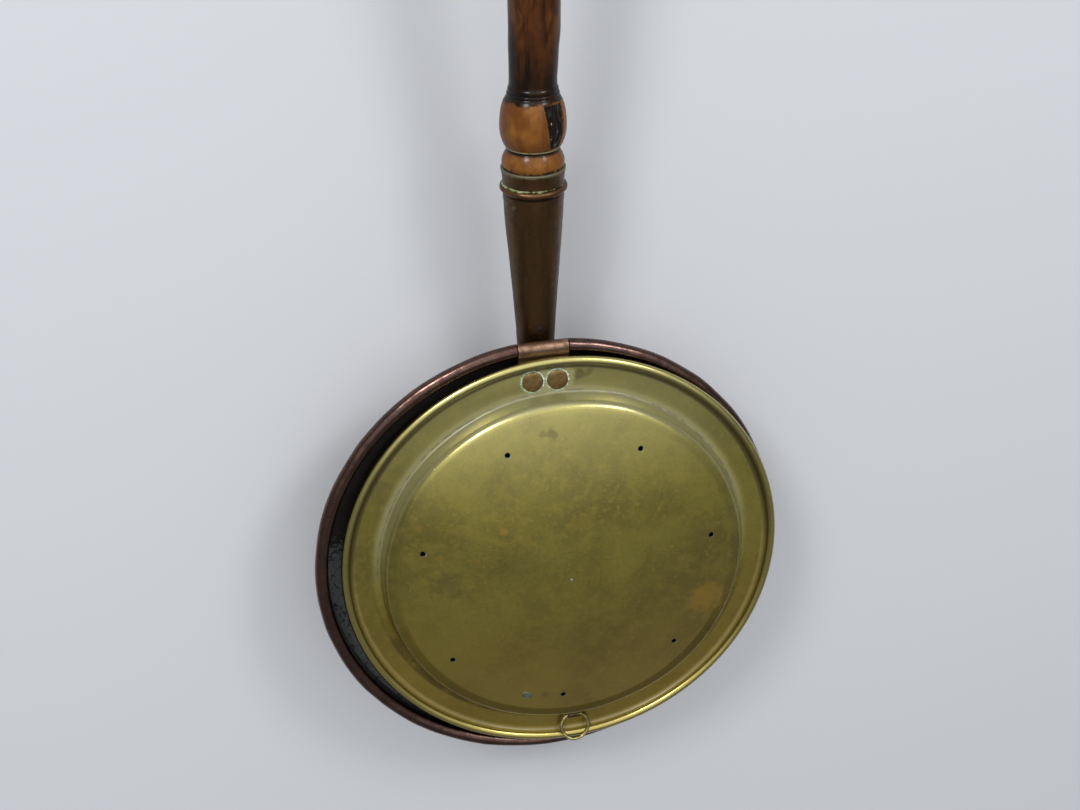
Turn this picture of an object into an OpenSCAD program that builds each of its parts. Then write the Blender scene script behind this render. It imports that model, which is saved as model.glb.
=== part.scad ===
// Bed warming pan: a covered copper ember pan on a long turned wooden handle.
// It lies on its base with the lid up (+Z) and the handle towards +Y.
// The origin is the middle of the underside of the base.

/* [Pan] */
// Height of the rolled rim's centre above the table
pan_h = 62; // [52:1:80]
// Radius of the rolled rim's centre line
rim_r = 148.3; // [146:0.1:152]
// Thickness of the copper sheet
pan_sheet = 1.1; // [0.9:0.1:1.3]
// Diameter of the iron wire inside the rolled rim
rim_wire_d = 6; // [5:0.1:6.6]
// Gap between the rim wire and the sheet rolled round it
rim_fit = 0.1; // [0.05:0.01:0.2]
// How far the roll overhangs the inside of the upstand below it
rim_overhang = 0.2; // [0.1:0.05:0.4]
// Height of the upstand, from the ledge to the rim's centre
ledge_drop = 7; // [6:0.5:10]
// Width of the ledge between the upstand and the bowl
ledge_w = 9.6; // [8:0.2:12]
// Lean of the bowl's wall, in degrees from upright
wall_lean = 8; // [4:0.5:12]
// Radius of the round corner between wall and base
corner_r = 18; // [12:1:24]
// Width of the open seam under the rolled rim
rim_seam_w = 0.5; // [0.3:0.1:0.8]

/* [Lid] */
// Play of the lid inside the rolled rim, at the radius
lid_play = 0.1; // [0:0.1:1]
// Thickness of the brass sheet
lid_sheet = 0.9; // [0.7:0.1:1.2]
// Diameter of the wire inside the lid's rolled edge
lid_wire_d = 3.7; // [3:0.1:4.4]
// Gap between the lid's wire and the sheet rolled round it
lid_fit = 0.15; // [0.05:0.01:0.2]
// Width of the open seam on the inner side of the lid's rolled edge
lid_seam_w = 0.4; // [0.3:0.1:0.6]
// Width of the flat flange, from the rolled edge's centre to the shoulder
flange_w = 19.5; // [18.5:0.1:22]
// Radius of the hollow at the foot of the shoulder
foot_r = 2; // [1.5:0.1:4]
// Height of the shoulder's straight face
shoulder_h = 7; // [5:0.2:12]
// Steepness of the shoulder, in degrees from level
shoulder_steep = 77; // [60:1:80]
// Radius of the shoulder's rounded crest
crest_r = 6; // [4:0.5:9]
// Radius of the crown's shallow sphere
crown_r = 620; // [500:10:1200]
// Number of air holes in the crown
air_holes = 7; // [5:1:12]
// Diameter of an air hole
air_hole_d = 3.2; // [2:0.1:5]
// Radius of the circle that the air holes lie on
air_ring_r = 95.8; // [60:0.5:104]
// Direction of the first air hole, in degrees
air_first = 111.5; // [90:0.5:140]
// How far the lid has slipped to the right on its worn hinge
lid_side = 7.5; // [0:0.5:8]
// How far the lid stands forward of the pan's centre
lid_forward = 1.4; // [1:0.1:2]
// Tilt of the lid, right side up, in degrees
lid_cant = 1.92; // [0:0.1:2.4]
// Gap left where two loose pieces rest on each other
seat_gap = 0.3; // [0.2:0.05:0.4]

/* [Hinge] */
// Length of the hinge barrel
hinge_w = 31; // [28:1:44]
// Gap between each end of the barrel and the rolled rim
hinge_end_gap = 0.6; // [0.4:0.1:1]
// Thickness of the hinge strap
strap_t = 1.1; // [0.9:0.1:1.3]
// Radial clearance of the barrel on the hinge pin
barrel_fit = 0.06; // [0.03:0.01:0.1]
// Length of the pin's tapered tip inside each end of the rolled rim
pin_tip_l = 2.5; // [1.5:0.1:3]
// Gap between the pin's end and the rim wire
pin_end_gap = 0.6; // [0.5:0.1:0.9]
// Reach of the strap under the lid, from the hinge axis
strap_reach = 25; // [22:0.5:30]
// Distance from the hinge axis to the rivets
rivet_reach = 20.3; // [19.5:0.1:20.5]
// Distance between the two hinge rivets
rivet_pitch = 15.3; // [14:0.1:18]
// Diameter of a rivet's shank
rivet_d = 4; // [3:0.1:5]
// Diameter of a hinge rivet's head
rivet_head_d = 13; // [10:0.1:13.2]
// Height of a hinge rivet's head
rivet_head_h = 1.5; // [1:0.1:2.5]
// Diameter of a hinge rivet's hammered tail
rivet_tail_d = 7; // [5.5:0.1:9]
// Gap between a shank and its hole
hole_fit = 0.05; // [0.03:0.01:0.1]

/* [Ring pull] */
// Outer diameter of the ring pull
pull_d = 21.6; // [19:0.2:24]
// Diameter of the ring pull's wire
pull_wire_d = 2.3; // [2:0.1:2.6]
// Radial clearance of the wire in its clip
pull_fit = 0.08; // [0.03:0.01:0.1]
// Width of the clip that holds the ring pull
clip_w = 8.5; // [7:0.5:10]
// Thickness of the clip's brass strip
clip_t = 0.95; // [0.8:0.05:1.1]
// Place of the clip to the right of the lid's centre
clip_side = 2.2; // [0:0.2:4]
// Distance between the clip and the foot of the shoulder
clip_from_foot = 3.9; // [1:0.1:5]
// Length of each clenched foot of the clip under the lid
clip_foot_l = 3.5; // [2.5:0.5:5]
// Thickness of the clenched feet
clip_foot_t = 0.7; // [0.5:0.1:1]

/* [Solder patch] */
// Length of the solder patch on the crown
patch_l = 8; // [6:0.5:10]
// Width of the solder patch
patch_w = 4.8; // [4:0.2:6]
// Thickness of the solder patch
patch_t = 0.5; // [0.3:0.1:0.8]
// Distance of the patch from the lid's centre
patch_at_r = 96.9; // [92:0.1:100]
// Direction of the patch, in degrees
patch_dir = 250.9; // [248:0.1:256]
// Diameter of the old hole that the solder plugs
plug_d = 3.2; // [2.6:0.1:3.8]

/* [Socket] */
// Rise of the handle, in degrees from level
handle_rise = 8.5; // [8:0.5:11]
// Depth of the handle's axis below the rim, at the rim's centre line
handle_drop = 20.2; // [20:0.1:22]
// Width of the socket plate around the bowl
plate_w = 52; // [46:1:60]
// Height of the socket plate
plate_h = 30; // [28:0.5:34]
// Thickness of the socket plate
plate_t = 1.8; // [1.4:0.1:2.4]
// Gap between the plate's top edge and the ledge
plate_from_ledge = 0.6; // [0.4:0.1:1]
// Distance between the left and right socket rivets
socket_pitch_w = 38; // [35:1:42]
// Distance between the upper and lower socket rivets
socket_pitch_h = 18; // [16:0.5:20]
// Diameter of a socket rivet's head
socket_head_d = 8; // [7:0.2:9]
// Height of a socket rivet's head
socket_head_h = 2; // [1.4:0.1:2.6]
// Length of the stub that the ferrule slides on, past the rim's centre line
stub_l = 28; // [24:1:32]
// Diameter of the pin through ferrule and stub
pin_d = 3; // [2.5:0.1:4]
// Distance of that pin from the rim's centre line
pin_at = 11; // [9:0.5:16]

/* [Ferrule] */
// Diameter of the ferrule where it passes the rim
ferrule_small_d = 23.6; // [22:0.1:23.8]
// Diameter at the wide end of the ferrule's cone
ferrule_big_d = 35.2; // [33:0.1:38]
// Length of the cone from the rim's centre line
ferrule_l = 93; // [85:1:105]
// Thickness of the ferrule's sheet
ferrule_sheet = 1; // [0.8:0.1:1.2]
// Length of the straight collar beyond the cone
collar_l = 8.6; // [8:0.2:12]
// Length of the lip beyond the collar
lip_l = 7.6; // [6:0.2:10]
// Diameter of the lip at its widest
lip_d = 37.1; // [36:0.1:39]
// Height of the half-round band around the collar
band_h = 2; // [1.4:0.1:2.6]
// Distance of the band from the start of the collar
band_at = 4.4; // [3.6:0.1:5]
// Gap between pieces that are fitted and fixed
joint_fit = 0.1; // [0.05:0.01:0.15]
// Distance of the nails from the end of the cone, towards the pan
nail_back = 4; // [3:0.5:8]
// Direction of the first nail round the handle, in degrees from the top
nail_dir = -50; // [-60:1:-30]
// Diameter of a nail
nail_d = 1.8; // [1.4:0.1:2.2]
// Length of a nail in the wood
nail_l = 9; // [7:0.5:12]
// Diameter of a nail's head
nail_head_d = 3.2; // [2.6:0.1:3.8]

/* [Handle] */
// Start of the wooden tenon inside the ferrule, from the rim's centre line
tenon_from = 36; // [34:1:50]
// Diameter of the small bead next to the ferrule
bead_d = 36.2; // [34:0.1:36.8]
// Length of the small bead past the ferrule
bead_l = 10.6; // [9:0.2:13]
// Diameter of the groove between small bead and large bead
groove_d = 30; // [28:0.2:32]
// Diameter of the large bead
knop_d = 37.3; // [35:0.1:40]
// Length of the large bead from the groove to its widest
knop_low_l = 13.7; // [12:0.1:16]
// Length of the large bead from its widest to its shoulder
knop_high_l = 15.6; // [14:0.1:18]
// Diameter of the large bead at its shoulder
knop_top_d = 31; // [30:0.1:33]
// Diameter of the step above the large bead
step_d = 27.6; // [27:0.1:29]
// Diameter of the shaft's waist above the step
waist_d = 26.3; // [25:0.1:27]
// Diameter of the shaft at its fullest
shaft_d = 28; // [27:0.1:30]
// Distance from the waist to the fullest part
swell_l = 66; // [50:1:100]
// Length of the shaft from the fullest part to the end turning
taper_l = 440; // [300:5:480]
// Diameter of the shaft at its far end
shaft_end_d = 22; // [20:0.2:24]
// Diameter of the bead before the end knob
end_bead_d = 30; // [27:0.2:33]
// Length of the bead before the end knob
end_bead_l = 16; // [12:0.5:20]
// Diameter of the neck between bead and knob
neck_d = 17; // [15:0.2:20]
// Length of that neck
neck_l = 14; // [10:0.5:20]
// Diameter of the end knob
knob_d = 34; // [30:0.2:38]
// Length of the end knob
knob_l = 40; // [34:0.5:46]
// Diameter of the button on the tip
button_d = 14; // [12:0.2:16]
// Length of the button on the tip
button_l = 9; // [7:0.5:12]

/* [Hanging ring] */
// Radius of the screw eye's loop, to the middle of its wire
eye_r = 4.6; // [4.2:0.1:5.5]
// Diameter of the screw eye's wire
eye_wire_d = 2.6; // [2:0.1:3]
// Depth of the screw eye's stem in the wood
eye_stem_l = 16; // [12:1:24]
// Outer diameter of the hanging ring
hang_d = 30; // [26:0.5:36]
// Diameter of the hanging ring's wire
hang_wire_d = 2.8; // [2.2:0.1:3.2]

/* [Hidden] */
$fn = 96;
// Reach of a cut beyond what it cuts
cut = 20;
// Hair's breadth left between faces that are pressed or riveted together
hair = 0.02;

// Rolled rim
rim_wire_r = rim_wire_d / 2;
roll_bore_r = rim_wire_r + rim_fit;
roll_r = roll_bore_r + pan_sheet;
rim_seam_dir = 232;

// Bowl: radii and heights of its outside and inside
upstand_in_r = rim_r - roll_r + rim_overhang;
upstand_out_r = upstand_in_r + pan_sheet;
ledge_top_z = pan_h - ledge_drop;
ledge_low_z = ledge_top_z - pan_sheet;
wall_top_r = upstand_in_r - ledge_w;
function wall_r(z) = wall_top_r - (ledge_low_z - z) * tan(wall_lean);
corner_at_r = wall_r(corner_r) - corner_r / cos(wall_lean);
wall_skin = pan_sheet / cos(wall_lean);

// Hinge: the straight pin is a chord of the rim, and its ends taper to follow the roll's curve
half_gap = hinge_w / 2 + hinge_end_gap;
hinge_y = sqrt(rim_r * rim_r - half_gap * half_gap);
barrel_bore_r = rim_wire_r + barrel_fit;
barrel_r = barrel_bore_r + strap_t;
pin_half = half_gap + pin_tip_l;
pin_tip_r = roll_bore_r - hair - hinge_y + sqrt(rim_r * rim_r - pin_half * pin_half);

// Lid: its own frame has z = 0 at the middle of the rolled edge
lid_wire_r = lid_wire_d / 2;
lid_bore_r = lid_wire_r + lid_fit;
lid_roll_r = lid_bore_r + lid_sheet;
lid_edge_r = rim_r - roll_r - lid_play - lid_roll_r;
lid_low_z = -lid_roll_r;
flange_z = lid_low_z + lid_sheet;
shoulder_foot_r = lid_edge_r - flange_w;
slope_foot_r = shoulder_foot_r - foot_r * sin(shoulder_steep);
slope_foot_z = flange_z + foot_r * (1 - cos(shoulder_steep));
slope_top_r = slope_foot_r - shoulder_h / tan(shoulder_steep);
slope_top_z = slope_foot_z + shoulder_h;
crown_edge_r = (slope_top_r - crest_r * sin(shoulder_steep)) / (1 - crest_r / crown_r);
crown_lean = asin(crown_edge_r / crown_r);
crown_edge_z = slope_top_z + crest_r * (cos(crown_lean) - cos(shoulder_steep));
function crown_z(r) = crown_edge_z - sqrt(crown_r * crown_r - crown_edge_r * crown_edge_r)
    + sqrt(crown_r * crown_r - r * r);

// The lid lies as high as its rolled edge needs to ride over the rolled rim
roll_reach = roll_r + lid_roll_r + seat_gap;
function edge_off(a) = rim_r - lid_edge_r - lid_side * cos(a) + lid_forward * sin(a);
function ride_z(a) = abs(edge_off(a)) < roll_reach
    ? sqrt(roll_reach * roll_reach - edge_off(a) * edge_off(a)) - lid_edge_r * sin(lid_cant) * cos(a)
    : 0;
lid_lift = max([for (a = [0:1:359]) ride_z(a)]);

// Hinge rivets and ring clip in the lid's frame
rivet_y = hinge_y - rivet_reach + lid_forward;
strap_from_y = hinge_y - strap_reach + lid_forward;
strap_to_y = hinge_y - rim_wire_r / 2 + lid_forward;
pull_wire_r = pull_wire_d / 2;
clip_bore_r = pull_wire_r + pull_fit;
clip_r = clip_bore_r + clip_t;
clip_y = -(shoulder_foot_r + clip_from_foot);
clip_z = flange_z + clip_r;
clip_leg_w = clip_w - 2;
clip_leg_t = 2 * clip_foot_t;
pull_r = pull_d / 2 - pull_wire_r;
pull_half_gap = clip_w / 2 + seat_gap;
pull_chord = sqrt(pull_r * pull_r - pull_half_gap * pull_half_gap);
pull_run = lid_edge_r + clip_y;
pull_rest = asin((lid_roll_r + pull_wire_r + seat_gap) / norm([pull_run, clip_z])) - atan2(clip_z, pull_run);

patch_low_z = -lid_sheet - hole_fit - patch_t;

// Socket and ferrule; distances along the handle start at the rim's centre line
plate_top_z = ledge_low_z - plate_from_ledge;
plate_low_z = plate_top_z - plate_h;
plate_mid_z = (plate_top_z + plate_low_z) / 2;
plate_angle = asin(plate_w / 2 / wall_r(plate_mid_z));
socket_angle = asin(socket_pitch_w / 2 / wall_r(plate_mid_z));
// A flat tail inside the round bowl touches it at its edge
tail_sag = rivet_tail_d * rivet_tail_d / 8 / (wall_r(plate_low_z) - pan_sheet);
socket_grip = plate_t * cos(wall_lean) + pan_sheet + tail_sag + 2 * hair;
ferrule_taper = (ferrule_big_d - ferrule_small_d) / 2 / ferrule_l;
function cone_r(s) = ferrule_small_d / 2 + s * ferrule_taper;
cone_lean = atan(ferrule_taper);
ferrule_from = -26;
stub_from = -24;
collar_r = ferrule_big_d / 2;
collar_end = ferrule_l + collar_l;
lip_end = collar_end + lip_l;
nail_at = ferrule_l - nail_back;
nail_head_h = 0.6;

// Handle stations
groove_at = lip_end + bead_l;
knop_at = groove_at + knop_low_l;
knop_top = knop_at + knop_high_l;
step_at = knop_top + 2.6;
waist_at = step_at + 7;
full_at = waist_at + swell_l;
shaft_end = full_at + taper_l;
end_bead_end = shaft_end + end_bead_l;
neck_end = end_bead_end + neck_l;
knob_end = neck_end + knob_l;
handle_end = knob_end + button_l;

// Hanging ring
eye_wire_r = eye_wire_d / 2;
hang_wire_r = hang_wire_d / 2;
hang_r = hang_d / 2 - hang_wire_r;
eye_at = handle_end + eye_r + eye_wire_r;
eye_drop = eye_r - eye_wire_r - hang_wire_r - seat_gap;
hang_y = rim_r + eye_at * cos(handle_rise);
hang_z = pan_h - handle_drop + eye_at * sin(handle_rise) - eye_drop;

// Points of an arc about (x, y) from angle a to angle b
function arc(x, y, r, a, b, n) =
    [for (i = [0:n]) [x + r * cos(a + (b - a) * i / n), y + r * sin(a + (b - a) * i / n)]];

// Points of a smooth run from (x0, y0) to (x1, y1) that is level at both ends
function ease(x0, y0, x1, y1, n) =
    [for (i = [0:n]) [x0 + (x1 - x0) * (1 - cos(180 * i / n)) / 2, y0 + (y1 - y0) * i / n]];

// Points of a bulge on the axis: radius r0 at y0, r1 at y1, and rm in the middle
function bulge(r0, y0, rm, r1, y1, n) =
    [for (i = [0:n]) [r0 + (r1 - r0) * i / n + (rm - (r0 + r1) / 2) * sin(180 * i / n), y0 + (y1 - y0) * i / n]];

module on_lid() {
    translate([lid_side, -lid_forward, pan_h + lid_lift])
        rotate([0, -lid_cant, 0])
            children();
}

module on_handle() {
    translate([0, rim_r, pan_h - handle_drop])
        rotate([handle_rise - 90, 0, 0])
            children();
}

module ring(r, wire_r) {
    rotate_extrude()
        translate([r, 0])
            circle(wire_r);
}

// Part of a wire ring, open on its +Y side between -half and +half
module open_ring(r, wire_r, half) {
    open = asin(half / r);
    rotate([0, 0, 90 + open])
        rotate_extrude(angle = 360 - 2 * open)
            translate([r, 0])
                circle(wire_r);
}

// A rivet along +Z: head above z = 0, shank below it, tail below the shank
module rivet(shank_d, grip, head_d, head_h, tail_d) {
    button(head_d, head_h);
    translate([0, 0, -grip - head_h / 2])
        cylinder(h = grip + head_h, d = shank_d);
    translate([0, 0, -grip])
        mirror([0, 0, 1])
            button(tail_d, head_h);
}

// A low domed head of diameter d and height h, standing on z = 0
module button(d, h) {
    edge_h = h / 3;
    dome_h = h - edge_h;
    dome_r = (d * d / 4 + dome_h * dome_h) / (2 * dome_h);
    lean = asin(d / 2 / dome_r);
    rotate_extrude()
        polygon(concat([[0, 0], [d / 2, 0]], arc(0, h - dome_r, dome_r, 90 - lean, 90, 8)));
}

// Places its children on each hinge rivet, in the lid's frame
module at_hinge_rivets() {
    for (side = [-1, 1])
        translate([side * rivet_pitch / 2 - lid_side, rivet_y, 0])
            children();
}

// Places its children on each socket rivet, +Z out of the bowl's wall
module at_socket_rivets() {
    for (side = [-1, 1], level = [-1, 1]) {
        z = plate_mid_z + level * socket_pitch_h / 2;
        rotate([0, 0, side * socket_angle])
            translate([0, wall_r(z), z])
                rotate([-90 - wall_lean, 0, 0])
                    children();
    }
}

// Places its children on each ferrule nail, +Z out of the ferrule
module at_nails() {
    for (turn = [0, 180])
        rotate([0, 0, turn + nail_dir])
            translate([0, -cone_r(nail_at), nail_at])
                rotate([90 + cone_lean, 0, 0])
                    children();
}

// Solid of the bowl's outside, grown by gap
module bowl_core(gap) {
    low_z = plate_low_z - cut;
    rotate_extrude()
        polygon([
            [0, low_z], [wall_r(low_z) + gap, low_z],
            [wall_r(pan_h) + gap, pan_h], [0, pan_h]
        ]);
}

module pan_bowl() color("sienna") difference() {
    union() {
        rotate_extrude()
            polygon(concat(
                [[0, 0]],
                arc(corner_at_r, corner_r, corner_r, -90, -wall_lean, 10),
                [
                    [wall_top_r, ledge_low_z], [upstand_out_r, ledge_low_z],
                    [upstand_out_r, pan_h - roll_r / 4], [upstand_in_r, pan_h - roll_r / 4],
                    [upstand_in_r, ledge_top_z],
                    [wall_r(ledge_top_z) - wall_skin, ledge_top_z]
                ],
                arc(corner_at_r, corner_r, corner_r - pan_sheet, -wall_lean, -90, 10),
                [[0, pan_sheet]]
            ));
        translate([0, 0, pan_h])
            ring(rim_r, roll_r);
    }
    translate([0, 0, pan_h])
        ring(rim_r, roll_bore_r);
    translate([0, 0, pan_h])
        rotate_extrude()
            translate([rim_r, 0])
                rotate(rim_seam_dir)
                    translate([rim_wire_r, -rim_seam_w / 2])
                        square([2 * pan_sheet, rim_seam_w]);
    translate([-half_gap, hinge_y - barrel_r - seat_gap, pan_h - barrel_r - seat_gap])
        cube([2 * half_gap, cut, cut]);
    at_socket_rivets()
        translate([0, 0, -cut / 2])
            cylinder(h = cut, r = rivet_d / 2 + hole_fit);
}

module rim_wire() color("dimgray")
    translate([0, 0, pan_h])
        open_ring(rim_r, rim_wire_r, pin_half + pin_end_gap);

// Straight pin between the two ends of the rolled rim
module hinge_pin() color("dimgray")
    translate([0, hinge_y, pan_h])
        rotate([0, 90, 0])
            rotate_extrude()
                polygon([
                    [0, -pin_half], [pin_tip_r, -pin_half], [rim_wire_r, -half_gap],
                    [rim_wire_r, half_gap], [pin_tip_r, pin_half], [0, pin_half]
                ]);

module lid_plate() color("darkgoldenrod") on_lid() difference() {
    union() {
        ring(lid_edge_r, lid_roll_r);
        rotate_extrude()
            polygon(concat(
                [[lid_edge_r, lid_low_z], [lid_edge_r, flange_z]],
                arc(shoulder_foot_r, flange_z + foot_r, foot_r, -90, -90 - shoulder_steep, 4),
                arc(slope_top_r - crest_r * sin(shoulder_steep), slope_top_z - crest_r * cos(shoulder_steep),
                    crest_r, 90 - shoulder_steep, 90 - crown_lean, 6),
                arc(0, crown_z(0) - crown_r, crown_r, 90 - crown_lean, 90, 8),
                arc(0, crown_z(0) - crown_r, crown_r - lid_sheet, 90, 90 - crown_lean, 8),
                arc(slope_top_r - crest_r * sin(shoulder_steep), slope_top_z - crest_r * cos(shoulder_steep),
                    crest_r - lid_sheet, 90 - crown_lean, 90 - shoulder_steep, 6),
                arc(shoulder_foot_r, flange_z + foot_r, foot_r + lid_sheet, -90 - shoulder_steep, -90, 4)
            ));
    }
    ring(lid_edge_r, lid_bore_r);
    rotate_extrude()
        translate([lid_edge_r - lid_bore_r - 2 * lid_sheet, flange_z])
            square([2 * lid_sheet + lid_bore_r / 2, lid_seam_w]);
    for (i = [0:air_holes - 1])
        rotate([0, 0, air_first - i * 360 / air_holes])
            translate([air_ring_r, 0, 0])
                cylinder(h = 2 * cut, d = air_hole_d);
    at_hinge_rivets()
        translate([0, 0, -cut / 2])
            cylinder(h = cut, r = rivet_d / 2 + hole_fit);
    translate([clip_side - clip_leg_w / 2 - hole_fit, clip_y - clip_leg_t / 2 - hole_fit, lid_low_z - cut / 2])
        cube([clip_leg_w + 2 * hole_fit, clip_leg_t + 2 * hole_fit, cut]);
    on_patch()
        translate([0, 0, -cut / 2])
            cylinder(h = cut, r = plug_d / 2 + hole_fit);
}

module lid_edge_wire() color("dimgray") on_lid()
    ring(lid_edge_r, lid_wire_r);

module hinge_strap() color("peru") difference() {
    union() {
        translate([-hinge_w / 2, hinge_y, pan_h])
            rotate([0, 90, 0])
                cylinder(h = hinge_w, r = barrel_r);
        on_lid()
            translate([-hinge_w / 2 - lid_side, strap_from_y, lid_low_z - strap_t])
                cube([hinge_w, strap_to_y - strap_from_y, strap_t]);
    }
    translate([-hinge_w, hinge_y, pan_h])
        rotate([0, 90, 0])
            cylinder(h = 2 * hinge_w, r = barrel_bore_r);
    on_lid()
        at_hinge_rivets()
            translate([0, 0, -cut / 2])
                cylinder(h = cut, r = rivet_d / 2 + hole_fit);
}

module hinge_rivets() color("peru") on_lid()
    at_hinge_rivets()
        translate([0, 0, flange_z + hair])
            rivet(rivet_d, lid_sheet + strap_t + 2 * hair, rivet_head_d, rivet_head_h, rivet_tail_d);

module ring_clip() color("goldenrod") on_lid()
    translate([clip_side, clip_y, clip_z])
        difference() {
            union() {
                translate([-clip_w / 2, 0, 0])
                    rotate([0, 90, 0])
                        cylinder(h = clip_w, r = clip_r);
                translate([-clip_leg_w / 2, -clip_leg_t / 2, lid_low_z - clip_foot_t - clip_z])
                    cube([clip_leg_w, clip_leg_t, clip_z - lid_low_z + clip_foot_t]);
                translate([-clip_leg_w / 2, -clip_foot_l - clip_leg_t / 2, lid_low_z - clip_foot_t - clip_z])
                    cube([clip_leg_w, 2 * clip_foot_l + clip_leg_t, clip_foot_t]);
            }
            translate([-clip_w, 0, 0])
                rotate([0, 90, 0])
                    cylinder(h = 2 * clip_w, r = clip_bore_r);
        }

module ring_pull() color("gold") on_lid()
    translate([clip_side, clip_y, clip_z])
        rotate([-pull_rest, 0, 0]) {
            translate([0, -pull_chord, 0])
                open_ring(pull_r, pull_wire_r, pull_half_gap);
            translate([-pull_half_gap, 0, 0])
                rotate([0, 90, 0])
                    cylinder(h = 2 * pull_half_gap, r = pull_wire_r);
            for (side = [-1, 1])
                translate([side * pull_half_gap, 0, 0])
                    sphere(pull_wire_r + 2 * hair);
        }

// Places its children on the solder patch, +Z out of the crown
module on_patch() {
    rotate([0, 0, patch_dir])
        translate([patch_at_r, 0, crown_z(patch_at_r)])
            rotate([0, asin(patch_at_r / crown_r), 0])
                children();
}

module lid_patch() color("slategray") on_lid() on_patch() {
    for (side = [-1, 1])
        translate([0, side * (patch_l - patch_w) / 2, 0])
            cylinder(h = patch_t, d = patch_w);
    translate([0, 0, patch_low_z])
        cylinder(h = patch_t - patch_low_z, d = plug_d);
    translate([0, 0, patch_low_z])
        cylinder(h = patch_t, d = patch_w);
}

module socket_plate() color("saddlebrown") difference() {
    union() {
        rotate([0, 0, 90 - plate_angle])
            rotate_extrude(angle = 2 * plate_angle)
                polygon([
                    [wall_r(plate_low_z) + hair, plate_low_z], [wall_r(plate_low_z) + plate_t, plate_low_z],
                    [wall_r(plate_top_z) + plate_t, plate_top_z], [wall_r(plate_top_z) + hair, plate_top_z]
                ]);
        difference() {
            on_handle()
                translate([0, 0, stub_from])
                    cylinder(
                        h = stub_l - stub_from,
                        r1 = cone_r(stub_from) - ferrule_sheet - joint_fit,
                        r2 = cone_r(stub_l) - ferrule_sheet - joint_fit
                    );
            bowl_core(plate_t / 2);
        }
    }
    at_socket_rivets()
        translate([0, 0, -cut / 2])
            cylinder(h = cut, r = rivet_d / 2 + hole_fit);
    on_handle()
        pin_hole();
}

// Hole for the pin through ferrule and stub
module pin_hole() {
    translate([0, 0, pin_at])
        rotate([90, 0, 0])
            cylinder(h = ferrule_big_d, r = pin_d / 2 + hole_fit, center = true);
}

module socket_rivets() color("peru")
    at_socket_rivets()
        translate([0, 0, plate_t * cos(wall_lean) + hair])
            rivet(rivet_d, socket_grip, socket_head_d, socket_head_h, rivet_tail_d);

module ferrule() color("saddlebrown") difference() {
    on_handle()
        rotate_extrude()
            polygon(concat(
                [
                    [cone_r(ferrule_from), ferrule_from], [collar_r, ferrule_l], [collar_r, collar_end]
                ],
                bulge(collar_r, collar_end, lip_d / 2, lip_d / 2 - ferrule_sheet / 2, lip_end, 6),
                [
                    [collar_r - ferrule_sheet, lip_end], [collar_r - ferrule_sheet, ferrule_l],
                    [cone_r(ferrule_from) - ferrule_sheet, ferrule_from]
                ]
            ));
    bowl_core(plate_t + joint_fit);
    on_handle()
        pin_hole();
    on_handle()
        at_nails()
            translate([0, 0, -nail_l])
                cylinder(h = 2 * nail_l, r = nail_d / 2 + hole_fit);
}

module ferrule_band() color("peru") on_handle()
    rotate_extrude()
        difference() {
            translate([collar_r, ferrule_l + band_at])
                circle(band_h);
            translate([0, ferrule_l - cut])
                square([collar_r + hole_fit, 3 * cut]);
        }

module ferrule_pin() color("dimgray") on_handle()
    translate([0, 0, pin_at]) {
        rotate([90, 0, 0])
            cylinder(h = 2 * cone_r(pin_at) + nail_head_h, d = pin_d, center = true);
        for (side = [-1, 1])
            translate([0, -side * cone_r(pin_at), 0])
                rotate([side * (90 + cone_lean), 0, 0])
                    translate([0, 0, hair])
                        button(pin_d + 1, nail_head_h);
    }

module ferrule_nails() color("darkkhaki") on_handle()
    at_nails()
        rivet_nail();

// A small nail along +Z with its head just above z = 0
module rivet_nail() {
    translate([0, 0, hair])
        button(nail_head_d, nail_head_h);
    translate([0, 0, -nail_l])
        cylinder(h = nail_l + nail_head_h / 2, d = nail_d);
}

module wooden_handle() color("chocolate") on_handle() difference() {
    rotate_extrude()
        polygon(concat(
            [
                [0, tenon_from], [cone_r(tenon_from) - ferrule_sheet - joint_fit, tenon_from],
                [collar_r - ferrule_sheet - joint_fit, ferrule_l],
                [collar_r - ferrule_sheet - joint_fit, lip_end + joint_fit]
            ],
            bulge(bead_d / 2 - 0.9, lip_end + joint_fit, bead_d / 2 - 0.6, groove_d / 2, groove_at, 6),
            arc_by(knop_d / 2, knop_at, groove_d / 2, groove_at + 0.4, 6, true),
            arc_by(knop_d / 2, knop_at, knop_top_d / 2, knop_top, 6, false),
            ease(step_d / 2, step_at, waist_d / 2, waist_at, 3),
            ease(waist_d / 2, waist_at, shaft_d / 2, full_at, 6),
            ease(shaft_d / 2, full_at, shaft_end_d / 2, shaft_end, 8),
            bulge(shaft_end_d / 2 + 1, shaft_end, end_bead_d / 2, neck_d / 2 + 1, end_bead_end, 8),
            bulge(neck_d / 2, end_bead_end, neck_d / 2, neck_d / 2, neck_end, 2),
            bulge(neck_d / 2 + 1, neck_end, knob_d / 2, button_d / 2 - 1, knob_end, 10),
            bulge(button_d / 2 - 2, knob_end, button_d / 2, button_d / 4, handle_end, 6),
            [[0, handle_end]]
        ));
    at_nails()
        translate([0, 0, -nail_l - joint_fit])
            cylinder(h = 2 * nail_l, r = nail_d / 2 + hole_fit);
    translate([0, 0, handle_end - eye_stem_l - joint_fit])
        cylinder(h = 2 * eye_stem_l, r = eye_wire_r + hole_fit);
}

// Points of one side of a turned bead: widest radius rm at ym, down or up to radius r at y
function arc_by(rm, ym, r, y, n, rising) =
    let (
        run = abs(y - ym),
        fall = rm - r,
        big = (run * run + fall * fall) / (2 * fall),
        lean = asin(run / big),
        turn = rising ? [for (i = [0:n]) -lean + lean * i / n] : [for (i = [1:n]) lean * i / n]
    )
    [for (t = turn) [rm - big + big * cos(t), ym + big * sin(t)]];

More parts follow.
